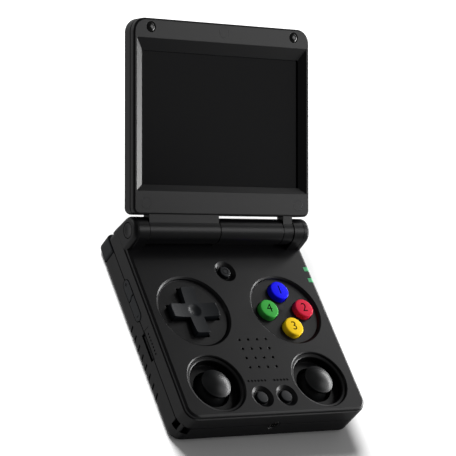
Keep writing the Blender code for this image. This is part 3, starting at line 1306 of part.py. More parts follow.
def tapered(low_outline, low, high_outline, high):
    """A body between two outlines of as many points."""
    count = len(low_outline)
    points = [(u, v, low) for u, v in low_outline] + [(u, v, high) for u, v in high_outline]
    faces = [tuple(reversed(range(count))), tuple(range(count, 2 * count))]
    faces += [(i, (i + 1) % count, count + (i + 1) % count, count + i) for i in range(count)]
    return points, faces


def window_margins(extra=0):
    """Margins of the screen window, made smaller by extra for what lies under its lip."""
    return (
        SCREEN_SIDE_MARGIN + BEVEL_SIDE - extra,
        SCREEN_BOTTOM_MARGIN + BEVEL_BOTTOM - extra,
        SCREEN_TOP_MARGIN + BEVEL_TOP - extra,
    )


LID_SCREW_ACROSS = HALF_WIDTH - LID_SCREW_FROM_SIDE
BUMPER_ACROSS = HALF_WIDTH - BUMPER_FROM_SIDE
LID_SCREWS = {
    "left": (-LID_SCREW_ACROSS, LID_FOOT + LID_SCREW_FROM_BOTTOM),
    "right": (LID_SCREW_ACROSS, LID_FOOT + LID_SCREW_FROM_BOTTOM),
    "top": (0, LID_TOP - LID_SCREW_FROM_TOP),
}
BUMPERS = {
    "bumper_left": (-BUMPER_ACROSS, LID_TOP - BUMPER_FROM_TOP),
    "bumper_right": (BUMPER_ACROSS, LID_TOP - BUMPER_FROM_TOP),
}
LIP_BACK = LID_FACE - BEVEL_DEPTH - BEVEL_LIP
GLASS_FRONT = LIP_BACK - GAP
GLASS_BACK = GLASS_FRONT - GLASS_THICKNESS
COVER_FLOOR = LID_BACK + COVER_WALL
DISC_SEAT = LID_FACE - COVER_DISC_THICKNESS - SLIDE_GAP
HEAD_SEAT = DISC_SEAT - LID_SCREW_HEAD - GAP


def add_lid_bezel(parent):
    levels = [(0, BEZEL_BACK)] + rounded_top(LID_FACE, BEZEL_FILLET)
    bezel = piece("lid_bezel", stacked(lid_outline(), levels), "shell_black", parent)
    tab_front = LID_FACE - TAB_SETBACK
    tab_low = math.sqrt(BARREL_RADIUS**2 - tab_front**2)
    tabs, barrels = [], []
    for left, right in ((LEFT_SEAM, CENTRE_LEFT), (CENTRE_RIGHT, RIGHT_SEAM)):
        x0, x1 = left + GAP / 2, right - GAP / 2
        tabs.append(
            box(
                x0 + BARREL_CHAMFER, x1 - BARREL_CHAMFER,
                tab_low - GAP, LID_FOOT + BEZEL_WALL / 2,
                tab_front - TAB_THICKNESS, tab_front,
            )
        )
        barrels.append(barrel(x0, x1, axis=(0, 0)))
    join(bezel, "tabs", *tabs)
    join(bezel, "barrels", *barrels)
    cut(bezel, "pocket", prism(lid_outline(BEZEL_WALL), BEZEL_BACK - OVERRUN, LIP_BACK))
    outer = screen_rectangle(SCREEN_SIDE_MARGIN, SCREEN_BOTTOM_MARGIN, SCREEN_TOP_MARGIN)
    window = screen_rectangle(*window_margins())
    bevel = tapered(window, LID_FACE - BEVEL_DEPTH, outer, LID_FACE)
    cut(bezel, "bevel", bevel)
    cut(bezel, "window", prism(window, LIP_BACK - OVERRUN, LID_FACE - BEVEL_DEPTH / 2))
    places = list(LID_SCREWS.values())
    bosses = [disc(c, LID_BOSS_RADIUS, HEAD_SEAT - LID_SCREW_HEAD, LIP_BACK + GAP, 20) for c in places]
    join(bezel, "bosses", *bosses)
    wide = COVER_DISC_RADIUS + SLIDE_GAP
    disc_holes = [disc(c, wide, DISC_SEAT, LID_FACE + OVERRUN, 24) for c in places]
    seat_floor = LID_FACE - BUMPER_SEAT_DEPTH
    seats = [disc(c, BUMPER_SEAT_RADIUS, seat_floor, LID_FACE + OVERRUN, 24) for c in BUMPERS.values()]
    cut(bezel, "discs", *disc_holes, *seats)
    head = LID_SCREW_HEAD_RADIUS + SLIDE_GAP
    head_holes = [disc(c, head, HEAD_SEAT, DISC_SEAT + OVERRUN / 2, 16) for c in places]
    cut(bezel, "heads", *head_holes)
    shank = LID_SCREW_SHANK_RADIUS + SLIDE_GAP
    cut(bezel, "shanks", *(disc(c, shank, BEZEL_BACK, HEAD_SEAT + OVERRUN / 2, 10) for c in places))
    cartridge = CARTRIDGE_RADIUS + SLIDE_GAP
    cut(
        bezel, "bores",
        rod(LEFT_SEAM - OVERRUN, CENTRE_LEFT + OVERRUN, cartridge, (0, 0), 24),
        rod(CENTRE_RIGHT - OVERRUN, RIGHT_SEAM + OVERRUN, SHAFT_RADIUS + SLIDE_GAP, (0, 0)),
    )


def add_lid_cover(parent):
    levels = rounded_base(LID_BACK, COVER_FILLET) + [(0, COVER_FRONT)]
    cover = piece("lid_cover", stacked(lid_outline(), levels), "shell_black", parent)
    hollow = lid_outline(BEZEL_WALL + COVER_WALL / 2)
    cut(cover, "hollow", prism(hollow, COVER_FLOOR, COVER_FRONT + OVERRUN))
    post_top = HEAD_SEAT - LID_SCREW_HEAD - GAP
    places = list(LID_SCREWS.values())
    join(cover, "posts", *(disc(c, LID_POST_RADIUS, COVER_FLOOR - GAP, post_top, 16) for c in places))
    shank = LID_SCREW_SHANK_RADIUS + SLIDE_GAP
    bores = [disc(c, shank, COVER_FLOOR - GAP / 2, post_top + OVERRUN, 10) for c in places]
    cut(cover, "screw_bores", *bores)


def add_lid_fittings(parent):
    """Glass, display panel, hinge cartridge, bumpers, and screws with their cover discs."""
    glass = screen_rectangle(*window_margins(GLASS_BORDER))
    piece("cover_glass", prism(glass, GLASS_BACK, GLASS_FRONT), "glass_black", parent)
    panel = screen_rectangle(*window_margins(GLASS_BORDER - PANEL_SETBACK))
    piece("display_panel", prism(panel, COVER_FLOOR + GAP, GLASS_BACK - GAP), "display_black", parent)
    ends = (LEFT_SEAM + GAP, LEFT_SEAM + GAP + CARTRIDGE_LENGTH)
    cartridge = piece("hinge_cartridge", rod(*ends, CARTRIDGE_RADIUS, (0, 0), 24), "steel", parent)
    bore_end = ends[1] - SHAFT_BITE + GAP
    cut(cartridge, "bore", rod(ends[0] - OVERRUN, bore_end, SHAFT_RADIUS + SLIDE_GAP, (0, 0)))
    for name, centre in BUMPERS.items():
        base = LID_FACE - BUMPER_SEAT_DEPTH + GAP
        top = LID_FACE + BUMPER_RISE
        fillet = (top - base) / 2
        levels = [(BUMPER_RADIUS, base)]
        levels += [(BUMPER_RADIUS - inset, height) for inset, height in rounded_top(top, fillet)]
        piece(name, turned(levels + [(0, top)], centre, steps=24), "rubber_black", parent)
    tip = COVER_FLOOR + GAP / 2
    head_base = HEAD_SEAT + GAP / 2
    head_top = head_base + LID_SCREW_HEAD
    profile = [
        (0, tip), (LID_SCREW_SHANK_RADIUS, tip), (LID_SCREW_SHANK_RADIUS, head_base),
        (LID_SCREW_HEAD_RADIUS, head_base), (LID_SCREW_HEAD_RADIUS, head_top), (0, head_top),
    ]
    for side, centre in LID_SCREWS.items():
        cover = disc(centre, COVER_DISC_RADIUS, DISC_SEAT + SLIDE_GAP, LID_FACE - FLUSH_SETBACK, 24)
        piece("screw_cover_" + side, cover, "rubber_black", parent)
        piece("lid_screw_" + side, turned(profile, centre, steps=SCREW_STEPS), "steel", parent)


def build():
    clear_scene()
    base = empty("base_frame", None, (0, AXIS_Y, 0))
    add_upper_shell(base)
    add_lower_shell(base)
    add_base_fittings(base)
    add_electronics(base)
    add_direction_pad(base)
    add_face_buttons(base)
    add_small_buttons(base)
    add_stick("left", LEFT_STICK, base)
    add_stick("right", RIGHT_STICK, base)
    add_side_keys(base)
    add_shoulder_buttons(base)
    add_memory_card(base)
    lid = empty("lid_axis", base, (0, 0, AXIS_Z), REST_TILT)
    add_lid_bezel(lid)
    add_lid_cover(lid)
    add_lid_fittings(lid)


build()
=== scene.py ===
# %% [markdown]
# # A clamshell handheld game console, dressed around its CAD frame
#
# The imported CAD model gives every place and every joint. This script builds the surfaces that the
# eye sees, and their plastics. Shapes are drawn in millimetres: the base round the hinge axis in plan
# and from its underside in height, the lid round the hinge axis with Y along the lid.

import json
from math import acos, atan2, cos, degrees, hypot, pi, radians, sin, sqrt, tan

import bmesh
import bpy
from mathutils import Matrix, Vector


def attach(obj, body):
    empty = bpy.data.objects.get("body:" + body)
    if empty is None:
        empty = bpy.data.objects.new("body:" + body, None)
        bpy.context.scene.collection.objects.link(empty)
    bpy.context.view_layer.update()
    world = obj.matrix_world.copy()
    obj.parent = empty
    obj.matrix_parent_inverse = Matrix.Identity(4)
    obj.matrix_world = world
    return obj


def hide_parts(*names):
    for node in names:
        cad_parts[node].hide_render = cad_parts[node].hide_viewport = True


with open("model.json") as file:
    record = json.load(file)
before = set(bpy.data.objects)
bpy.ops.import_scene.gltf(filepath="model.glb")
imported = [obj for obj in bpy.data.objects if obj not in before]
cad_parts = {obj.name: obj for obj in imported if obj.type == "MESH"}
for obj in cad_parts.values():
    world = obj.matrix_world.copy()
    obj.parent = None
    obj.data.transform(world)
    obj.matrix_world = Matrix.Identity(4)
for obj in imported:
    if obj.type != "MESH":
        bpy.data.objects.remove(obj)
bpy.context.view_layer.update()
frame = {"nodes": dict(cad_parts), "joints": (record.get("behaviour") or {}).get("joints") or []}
scene = bpy.context.scene

# %% [markdown]
# ## Sizes from the frame
#
# Sizes that the CAD model carries are read from a node's own vertices or from a joint. Only soft
# details, such as rims and wall slopes, have values here.

# %% Read the main sizes
MM = 0.001
OVERRUN = 1.0
JOINTS = {joint["name"]: joint for joint in frame["joints"]}
HINGE = Vector(JOINTS["lid_hinge"]["pos_m"])
REST_TILT = radians(180 + JOINTS["lid_hinge"]["range_deg"][0])
BASE = Matrix.Translation((0, HINGE.y, 0)) @ Matrix.Scale(MM, 4)
LID = Matrix.Translation(HINGE) @ Matrix.Rotation(REST_TILT, 4, "X") @ Matrix.Scale(MM, 4)


def local_box(name, place=BASE):
    """Lowest and highest corner of a node in the millimetres that its half is drawn in."""
    back = place.inverted()
    points = [back @ vertex.co for vertex in frame["nodes"][name].data.vertices]
    return [[round(limit(p[i] for p in points), 3) for i in range(3)] for limit in (min, max)]


def centre_of(name, place=BASE):
    low, high = local_box(name, place)
    return (low[0] + high[0]) / 2, (low[1] + high[1]) / 2


def centres_of(pattern, keys, place=BASE):
    """The centres of nodes of one kind, under the part of their name that differs."""
    return {key: centre_of(pattern.format(key), place) for key in keys.split()}


shell_low, (SIDE, REAR, LOWER_TOP) = local_box("lower_shell")
FRONT = shell_low[1]
TOP = local_box("menu_button")[1][2]
AXIS_Z = round(HINGE.z / MM, 3)
GAP = 0.3
UPPER_BASE = LOWER_TOP + GAP
SEAM = LOWER_TOP + GAP / 2
(_, LID_FOOT, LID_BACK), (_, LID_TOP, COVER_FRONT) = local_box("lid_cover", LID)
PLUG_DEPTH = 0.05
LID_FACE = local_box("screw_cover_top", LID)[1][2] + PLUG_DEPTH
pin_low, pin_high = local_box("hinge_pin")
PIN_IN_EAR, PIN_IN_KNUCKLE = 3.6, 9.0
LEFT_SEAM = local_box("hinge_cartridge", LID)[0][0] - GAP
RIGHT_SEAM = pin_high[0] - PIN_IN_EAR
CENTRE_RIGHT = pin_low[0] + PIN_IN_KNUCKLE
KNUCKLE_SHARE = 0.5192
CENTRE_LEFT = LEFT_SEAM + KNUCKLE_SHARE * (CENTRE_RIGHT - LEFT_SEAM)
print("base:", SIDE, FRONT, REAR, "top", TOP, "seam", SEAM, "axis", AXIS_Z)
print("lid:", LID_FOOT, LID_TOP, "face", LID_FACE, "back", LID_BACK)
print("hinge seams:", LEFT_SEAM, CENTRE_LEFT, CENTRE_RIGHT, RIGHT_SEAM)

# %% [markdown]
# ## Drawing shapes
#
# A shape is a list of points and a list of faces, in millimetres. Moulded parts are outlines moved
# up through levels, and round parts are profiles turned on an axis. Their corners are rounded while
# they are still lines, because a rounding that is drawn in survives every later cut.


# %% Outlines
def arc(centre, radius, start, end, steps):
    turns = [radians(start + (end - start) * i / steps) for i in range(steps + 1)]
    return [(centre[0] + radius * cos(t), centre[1] + radius * sin(t)) for t in turns]


def cornered(u0, u1, v0, v1, radii, steps=8):
    """A rectangle with its own radius at each corner, from the lower left to the upper left."""
    corners = ((u0, v0, 1, 1, 180), (u1, v0, -1, 1, 270), (u1, v1, -1, -1, 0), (u0, v1, 1, -1, 90))
    outline = []
    for (u, v, right, up, start), radius in zip(corners, radii):
        outline += arc((u + right * radius, v + up * radius), radius, start, start + 90, steps)
    return outline


def slot_outline(u, v, length, height, steps=12):
    reach = (length - height) / 2
    right = arc((u + reach, v), height / 2, -90, 90, 2 * steps)
    return right + arc((u - reach, v), height / 2, 90, 270, 2 * steps)


def circle(centre, radius, steps=64):
    return arc(centre, radius, 0, 360 - 360 / steps, steps - 1)


def rectangle(u0, u1, v0, v1):
    return [(u0, v0), (u1, v0), (u1, v1), (u0, v1)]


def shift(outline, centre):
    return [(u + centre[0], v + centre[1]) for u, v in outline]


def inset_outline(points, inset):
    """The outline moved inwards by the same distance on every side."""
    area = sum(a[0] * b[1] - b[0] * a[1] for a, b in zip(points, points[1:] + points[:1]))
    sign = 1 if area > 0 else -1
    moved = []
    for before, point, after in zip(points[-1:] + points[:-1], points, points[1:] + points[:1]):
        normals = []
        for a, b in ((before, point), (point, after)):
            du, dv = b[0] - a[0], b[1] - a[1]
            size = hypot(du, dv)
            normals.append((-dv / size * sign, du / size * sign))
        (nu, nv), (mu, mv) = normals
        scale = inset / (1 + nu * mu + nv * mv)
        moved.append((point[0] + (nu + mu) * scale, point[1] + (nv + mv) * scale))
    return moved


def soften(points, radius, steps=5, closed=False):
    """A line whose corners are rounded; a short side limits the radius of its corners."""
    count = len(points)
    result = [] if closed else [points[0]]
    for i in range(count) if closed else range(1, count - 1):
        before, corner, after = (Vector(points[j % count]) for j in (i - 1, i, i + 1))
        back, ahead = before - corner, after - corner
        half = back.angle(ahead) / 2
        if pi / 2 - half < 0.02:
            result.append(tuple(corner))
            continue
        reach = min(radius / tan(half), 0.49 * back.length, 0.49 * ahead.length)
        size = reach * tan(half)
        back.normalize()
        ahead.normalize()
        middle = corner + (back + ahead).normalized() * size / sin(half)
        start = (corner + back * reach - middle).normalized()
        end = (corner + ahead * reach - middle).normalized()
        for k in range(steps + 1):
            result.append(tuple(middle + start.slerp(end, k / steps) * size))
    return result if closed else result + [points[-1]]


# %% [markdown]
# Solids come from outlines in three ways: stacked levels, a straight prism, and a turned profile.


# %% Solids
def upright(u, v, h):
    return (u, v, h)


def along_x(u, v, h):
    return (h, u, v)


def along_y(u, v, h):
    return (u, h, v)


def lofted(rings, lay=upright):
    """A closed body through outlines of as many points, each given with its height."""
    count = len(rings[0][0])
    points = [lay(u, v, h) for outline, h in rings for u, v in outline]
    faces = [tuple(reversed(range(count)))]
    for low in range(0, len(points) - count, count):
        for i in range(count):
            j = (i + 1) % count
            faces.append((low + i, low + j, low + count + j, low + count + i))
    faces.append(tuple(range(len(points) - count, len(points))))
    return points, faces


def stacked(outline, levels, lay=upright):
    """Copies of one outline, each level given as (inset, height)."""
    return lofted([(inset_outline(outline, inset), h) for inset, h in levels], lay)


def prism(outline, low, high, lay=upright):
    return lofted([(outline, low), (outline, high)], lay)


def box(x0, x1, y0, y1, z0, z1):
    return prism(rectangle(x0, x1, y0, y1), z0, z1)


def turned(profile, centre=(0, 0), lay=upright, steps=64, ring=False):
    """A body turned from (radius, height) points. A ring's profile closes on itself."""
    points, rows = [], []
    for radius, height in profile:
        row = range(len(points), len(points) + (steps if radius else 1))
        for i in row:
            turn = 2 * pi * (i - row[0]) / steps
            u = centre[0] + radius * cos(turn)
            points.append(lay(u, centre[1] + radius * sin(turn), height))
        rows.append(list(row))
    faces = []
    for low, high in zip(rows, rows[1:] + rows[:1] if ring else rows[1:]):
        for i in range(steps):
            j = (i + 1) % steps
            corners = [low[i % len(low)], low[j % len(low)], high[j % len(high)], high[i % len(high)]]
            faces.append(tuple(dict.fromkeys(corners)))
    if not ring:
        faces += [tuple(row) for row in (rows[0], rows[-1]) if len(row) > 1]
    return points, faces


def rod(left, right, radius, steps=48):
    return turned([(radius, left), (radius, right)], (0, AXIS_Z), along_x, steps)


def post(radius, low, high):
    """The profile of a plain post, turned to a cylinder."""
    return [(0, low), (radius, low), (radius, high), (0, high)]


def disc(centre, radius, low, high, steps=48):
    return prism(circle(centre, radius, steps), low, high)


def quarter(radius, steps):
    """A rounding as distances from the two faces that it joins."""
    turns = [pi / 2 * i / steps for i in range(steps + 1)]
    return [(radius * (1 - sin(t)), radius * (1 - cos(t))) for t in turns]


def rounded_base(base, radius, steps=8):
    return [(a, base + b) for a, b in quarter(radius, steps)]


def rounded_top(top, radius, steps=8):
    return [(b, top - a) for a, b in quarter(radius, steps)]


def flare(low, face, radius, sign=1, steps=5):
    """Levels of a hole cutter that widens in a rounding as it meets a face and then runs past it."""
    levels = [(-b, face - sign * a) for a, b in quarter(radius, steps)]
    return [(0, low)] + levels + [(-radius, face + sign * OVERRUN)]


def bowl(profile, radius, steps=6):
    """A turned cutter from its floor to a soft rim at the last point's height, and on past it."""
    edge, top = profile[-1]
    line = soften([(0, profile[0][1]), *profile, (edge + 4 * radius, top)], radius, steps)
    return line[:-1] + [(line[-2][0], top + OVERRUN)]


def together(shapes):
    points, faces = [], []
    for shape_points, shape_faces in shapes:
        start = len(points)
        points += shape_points
        faces += [tuple(start + i for i in face) for face in shape_faces]
    return points, faces


def mirrored(shape):
    return [(-x, y, z) for x, y, z in shape[0]], shape[1]


# %% [markdown]
# ## From shapes to objects
#
# A Boolean is applied as soon as it is made, so a piece is always a plain mesh. At the end each
# piece gets smooth shading that breaks at real edges. Weighted normals keep the big flat faces flat
# next to their narrow roundings, which is what makes a moulded edge catch a clean line of light.


# %% Objects and Booleans
def new_object(name, data):
    thing = bpy.data.objects.new(name, data)
    scene.collection.objects.link(thing)
    return thing


def solid(name, shape, finish=None, place=BASE):
    points, faces = shape
    mesh = bpy.data.meshes.new(name)
    mesh.from_pydata([place @ Vector(point) for point in points], [], faces)
    form = bmesh.new()
    form.from_mesh(mesh)
    bmesh.ops.recalc_face_normals(form, faces=form.faces)
    form.to_mesh(mesh)
    form.free()
    if finish:
        mesh.materials.append(finish)
    return new_object(name, mesh)


def live_mesh(thing):
    graph = bpy.context.evaluated_depsgraph_get()
    return bpy.data.meshes.new_from_object(thing.evaluated_get(graph))


def settle(thing):
    """Turns an object's live modifiers into its mesh."""
    mesh = live_mesh(thing)
    thing.modifiers.clear()
    thing.data = mesh


def combine(target, operation, cutter, keep_finish=False):
    step = target.modifiers.new("combine", "BOOLEAN")
    step.operation, step.solver, step.object = operation, "EXACT", cutter
    step.material_mode = "TRANSFER" if keep_finish else "INDEX"
    settle(target)
    bpy.data.objects.remove(cutter)


def cut(target, *shapes, place=BASE, finish=None):
    cutter = solid("cutter", together(shapes), finish, place)
    combine(target, "DIFFERENCE", cutter, finish is not None)


def join(target, *shapes, place=BASE):
    combine(target, "UNION", solid("addition", together(shapes), place=place))


def complete(piece, body, slot, *nodes, angle=32):
    """Shading, body and the CAD nodes that the piece stands for; the slot argument is not used."""
    form = bmesh.new()
    form.from_mesh(piece.data)
    bmesh.ops.remove_doubles(form, verts=form.verts, dist=0.002 * MM)
    bmesh.ops.dissolve_degenerate(form, edges=form.edges, dist=0.001 * MM)
    form.to_mesh(piece.data)
    form.free()
    piece.data.shade_smooth()
    piece.data.set_sharp_from_angle(angle=radians(angle))
    piece.modifiers.new("weights", "WEIGHTED_NORMAL").keep_sharp = True
    settle(piece)
    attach(piece, body)
    if nodes:
        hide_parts(*nodes)


def tell(what, piece):
    print(what + ":", len(piece.data.vertices), "points")


# %% [markdown]
# A node's input is given a value or the socket that feeds it. One function adds a node to any tree.


# %% Nodes
def feed(node, inputs):
    for socket, value in inputs.items():
        if isinstance(value, bpy.types.NodeSocket):
            node.id_data.links.new(value, node.inputs[socket])
        else:
            node.inputs[socket].default_value = value


def add_node(tree, kind, inputs=None, **settings):
    made = tree.nodes.new(kind)
    for name, value in settings.items():
        setattr(made, name, value)
    feed(made, inputs or {})
    return made


def linear(hex_colour):
    """An sRGB hex colour as linear values."""
    channels = [int(hex_colour[i:i + 2], 16) / 255 for i in (1, 3, 5)]
    return (*[c / 12.92 if c <= 0.04045 else ((c + 0.055) / 1.055) ** 2.4 for c in channels], 1.0)


def new_material(name):
    made = bpy.data.materials.new(name)
    made.use_nodes = True
    return made, made.node_tree, made.node_tree.nodes["Principled BSDF"]


def surface(tree, grain, roughness, spread, depth_mm, strength):
    """A gloss that varies with a grain, and the relief of the same grain."""
    levels = {"Value": grain, "From Min": 0.3, "From Max": 0.7}
    levels.update({"To Min": roughness - spread, "To Max": roughness + spread})
    gloss = add_node(tree, "ShaderNodeMapRange", levels).outputs["Result"]
    relief = {"Height": grain, "Distance": depth_mm * MM, "Strength": strength}
    return gloss, add_node(tree, "ShaderNodeBump", relief).outputs["Normal"]


# %% [markdown]
# ## Materials
#
# The shells are injection-moulded ABS with a fine spark-eroded texture. Such a surface is matte and
# breaks reflections up, and its grain is about a fifth of a millimetre across. The grain is drawn
# with noise in millimetres, and a slow drift of tone stands for handling.


# %% Moulded plastics
def plastic(name, colour, shade, roughness, skin, grain_mm, grain_depth_mm):
    """A moulded plastic: a matte body under a thin skin whose shine is broken up by its grain."""
    made, tree, shader = new_material(name)
    place = add_node(tree, "ShaderNodeTexCoord").outputs["Object"]
    drift = {"Vector": place, "Scale": 1 / (14 * MM), "Detail": 3.0, "Roughness": 0.6}
    cloud = add_node(tree, "ShaderNodeTexNoise", drift).outputs["Fac"]
    texture = {"Vector": place, "Scale": 1 / (grain_mm * MM), "Detail": 2.0}
    grain = add_node(tree, "ShaderNodeTexNoise", texture).outputs["Fac"]
    tones = {0: cloud, 6: linear(colour), 7: linear(shade)}
    tone = add_node(tree, "ShaderNodeMix", tones, data_type="RGBA").outputs[2]
    gloss, bump = surface(tree, grain, roughness, 0.05, grain_depth_mm, 0.6)
    feed(shader, {"Base Color": tone, "Roughness": gloss, "Normal": bump, "Coat Normal": bump})
    feed(shader, {"Specular IOR Level": 0.0, "Coat Weight": skin, "Coat Roughness": roughness})
    return made


# Moulded ABS from a spark-eroded mould: near black, matte, with a broken sheen.
textured_abs = plastic("textured_black_abs", "#060607", "#080809", 0.33, 0.24, 0.22, 0.007)
# Keys from a finer mould: a cool charcoal with an even satin.
satin_abs = plastic("satin_black_abs", "#0f1113", "#121417", 0.4, 0.22, 0.3, 0.005)
# Thumb stick caps and lid feet: dense moulded rubber, polished where thumbs run.
stick_rubber = plastic("satin_moulded_rubber", "#0b0c0d", "#0e0f10", 0.42, 0.3, 0.15, 0.001)
foot_rubber = plastic("glossy_bumper_rubber", "#060606", "#090909", 0.16, 0.4, 0.4, 0.001)
# Painted shade for the floors of engraved marks: a flat dark fill that stands for the shade inside each
# recess.
engraving_shade_paint = plastic("painted_engraving_shade", "#0b0b0c", "#0f0f10", 0.6, 0.1, 0.3, 0.005)
# Through-coloured ABS caps: saturated, with little sheen on top and a crisp glint at the edge.
BUTTON_TONES = {
    "blue": ("#1010dc", "#0e0ed4"), "green": ("#36923c", "#328b38"),
    "red": ("#bc1f39", "#b41d36"), "yellow": ("#dcb61a", "#d5b018"),
}
button_abs = {
    colour: plastic(f"{colour}_moulded_abs", *tones, 0.3, 0.1, 0.3, 0.003)
    for colour, tones in BUTTON_TONES.items()
}
# Frosted acrylic that carries light from the board to the edge of the case.
light_acrylic = plastic("frosted_green_acrylic", "#468e62", "#40885c", 0.4, 0.15, 0.3, 0.004)
# Glass-filled nylon of sockets, gimbals and the card: duller and greyer than ABS.
socket_plastic = plastic("black_glass_filled_nylon", "#101011", "#161617", 0.5, 0.2, 0.3, 0.008)
# Back-printed cover glass with an anti-reflection coating: black, smooth, hardly any sheen.
screen_glass = plastic("coated_black_glass", "#050506", "#060607", 0.2, 0.03, 30.0, 0.0005)
panel_black = plastic("display_panel_black", "#060607", "#08080a", 0.4, 0.1, 20.0, 0.001)
# Inside: clear grey silicone under the keys, green solder mask, and the battery's shrink film.
silicone = plastic("translucent_silicone", "#a9adb0", "#a1a5a9", 0.5, 0.3, 0.4, 0.004)
# The solder mask is a near-black green: partly its own colour, partly painted shade, so that the board seen
# through the openings stays as dark as the inside of the case.
solder_mask = plastic("green_solder_mask", "#0a1a12", "#0d2217", 0.4, 0.2, 0.9, 0.02)
battery_film = plastic("grey_battery_film", "#83878b", "#8f9397", 0.35, 0.5, 2.5, 0.02)
speaker_cloth = plastic("black_speaker_cloth", "#08080a", "#111114", 0.8, 0.05, 0.45, 0.05)
print("materials, with the frame's:", len(bpy.data.materials))

# %% [markdown]
# Metal parts are plated steel. Rolling and turning leave fine lines, so the noise that varies their
# gloss is drawn out along one direction. Contacts are the same with gold on top.


# %% Plated metals
def plated(name, colour, roughness, line_mm, draw_out):
    """A plated metal whose fine lines run along the direction that is drawn out."""
    made, tree, shader = new_material(name)
    place = add_node(tree, "ShaderNodeTexCoord").outputs["Object"]
    drawn = add_node(tree, "ShaderNodeMapping", {"Vector": place, "Scale": draw_out}).outputs["Vector"]
    texture = {"Vector": drawn, "Scale": 1 / (line_mm * MM), "Detail": 3.0}
    lines = add_node(tree, "ShaderNodeTexNoise", texture).outputs["Fac"]
    gloss, bump = surface(tree, lines, roughness, 0.07, 0.003, 0.5)
    feed(shader, {"Base Color": linear(colour), "Metallic": 1.0, "Roughness": gloss, "Normal": bump})
    return made


steel = plated("zinc_plated_steel", "#b9bcc0", 0.34, 0.3, (0.08, 1, 1))
nickel = plated("nickel_plated_steel", "#c2bfb8", 0.26, 0.25, (1, 0.1, 1))
gold = plated("gold_plated_contact", "#d8b057", 0.25, 0.2, (1, 0.1, 1))
dark_steel = plated("black_zinc_screw", "#3a3b3e", 0.36, 0.25, (1, 1, 0.1))
print("materials, with the metals:", len(bpy.data.materials))

# %% [markdown]
# The flat cover glass and the pieces inside keep their CAD shape and only get the finish of the
# real thing.

# %% Finishes for pieces that keep their CAD shape
CAD_FINISHES = (
    (steel, ("hinge_shaft", "hinge_pin", "hinge_cartridge", "card_socket")),
    (dark_steel, ("lid_screw_left", "lid_screw_right", "lid_screw_top")),
    (socket_plastic, ("stick_gimbal_left", "stick_gimbal_right")),
    (socket_plastic, ("stick_housing_left", "stick_housing_right")),
    (silicone, ("face_membrane", "dpad_membrane", "small_button_membrane", "dpad_pivot")),
    (solder_mask, ("main_board",)),
    (battery_film, ("battery_pack",)),
    (speaker_cloth, ("speaker_unit",)),
    (panel_black, ("display_panel",)),
    (screen_glass, ("cover_glass",)),
)
for finish, names in CAD_FINISHES:
    for name in names:
        for node_slot in frame["nodes"][name].material_slots:
            node_slot.material = finish
print("finishes on CAD pieces:", sum(len(names) for finish, names in CAD_FINISHES))

# %% [markdown]
# ## Upper case
#
# The upper half of the base is one moulding: a wall, a narrow ledge, and a raised plate with a soft
# edge. It is drawn as one outline through levels. The ears of the hinge and the fixed knuckle are
# joined to it, and the trough behind the plate is cut by a rod round the hinge axis.

# %% Upper case: body, ears and knuckle
WALL = 2.0
CEILING = TOP - 2.5
DISH_FLOOR = TOP - 1.3
LEDGE = TOP - 1.5
EDGE = 0.12
FRONT_CORNER, REAR_CORNER = 5.3, 3.0
BARREL = 5.16
EAR, EAR_FOOT, EAR_LINE, SHOULDER = 5.4, 5.59, 4.75, 8.0
corner_radii = (FRONT_CORNER, FRONT_CORNER, REAR_CORNER, REAR_CORNER)
body_outline = cornered(-SIDE, SIDE, FRONT, REAR, corner_radii, 14)


def touch(y, z, sign):
    """The angle at which a line from a point, given from the axis, touches the ear's round head."""
    return degrees(atan2(z, y) + sign * acos(EAR / hypot(y, z)))


def ear_outline():
    """The ear's side view: a round head on a foot that widens to the rear."""
    front = touch(-EAR_FOOT, TOP - AXIS_Z, -1) + 360
    head = arc((0, AXIS_Z), EAR, touch(REAR, -SHOULDER, 1), front, 48)
    back, neck = REAR - 0.05, AXIS_Z - SHOULDER
    return head + [(-EAR_FOOT, TOP), (-EAR_FOOT, neck - 2.5), (back, neck - 2.5), (back, neck)]


def ear(outer, inner, sign):
    line = inner + sign * EAR_LINE
    levels = [(0, inner), (0, line - sign * EDGE), (0.1, line), (0, line + sign * EDGE)]
    levels += [(inset, outer + sign * (height - 0.05)) for inset, height in rounded_top(0, 1.9, 10)]
    return stacked(ear_outline(), levels, along_x)


def barrel(left, right, axis):
    return turned(soften(post(BARREL, left, right), EDGE, 3), axis, along_x, 96)


outside = rounded_base(UPPER_BASE, EDGE, 1) + rounded_top(LEDGE - 0.2, EDGE, 4)
outside += soften([(0.45, LEDGE), (0.45, TOP - 0.5), (1.4, TOP), (3.0, TOP)], 0.35, 5)[:-1]
upper_case = solid("upper_case", stacked(body_outline, outside), textured_abs)
cut(upper_case, prism(inset_outline(body_outline, WALL), UPPER_BASE - OVERRUN, CEILING))
cut(upper_case, rod(LEFT_SEAM, RIGHT_SEAM, BARREL + GAP, 96))
join(upper_case, ear(-SIDE, LEFT_SEAM - GAP / 2, -1), ear(SIDE, RIGHT_SEAM + GAP / 2, 1))
knuckle = (CENTRE_LEFT + GAP / 2, CENTRE_RIGHT - GAP / 2)
join(upper_case, box(knuckle[0] + 0.2, knuckle[1] - 0.2, -3.6, 3.6, CEILING + GAP, AXIS_Z))
join(upper_case, barrel(*knuckle, (0, AXIS_Z)))
cap_low, cap_high = local_box("hinge_cap_left")
CAP = (cap_high[1] - cap_low[1]) / 2
bore = rod(-SIDE - OVERRUN, cap_high[0] + GAP, CAP + 0.25)
cut(upper_case, bore, mirrored(bore))
tell("upper case body", upper_case)

# %% [markdown]
# The two dishes, the two stick wells and the three small button wells are turned cutters. Their
# profiles are softened lines, so each rim ends in a rounding. On a black plastic the eye sees little
# but these rims: the side that faces the light draws a thin bright crescent.

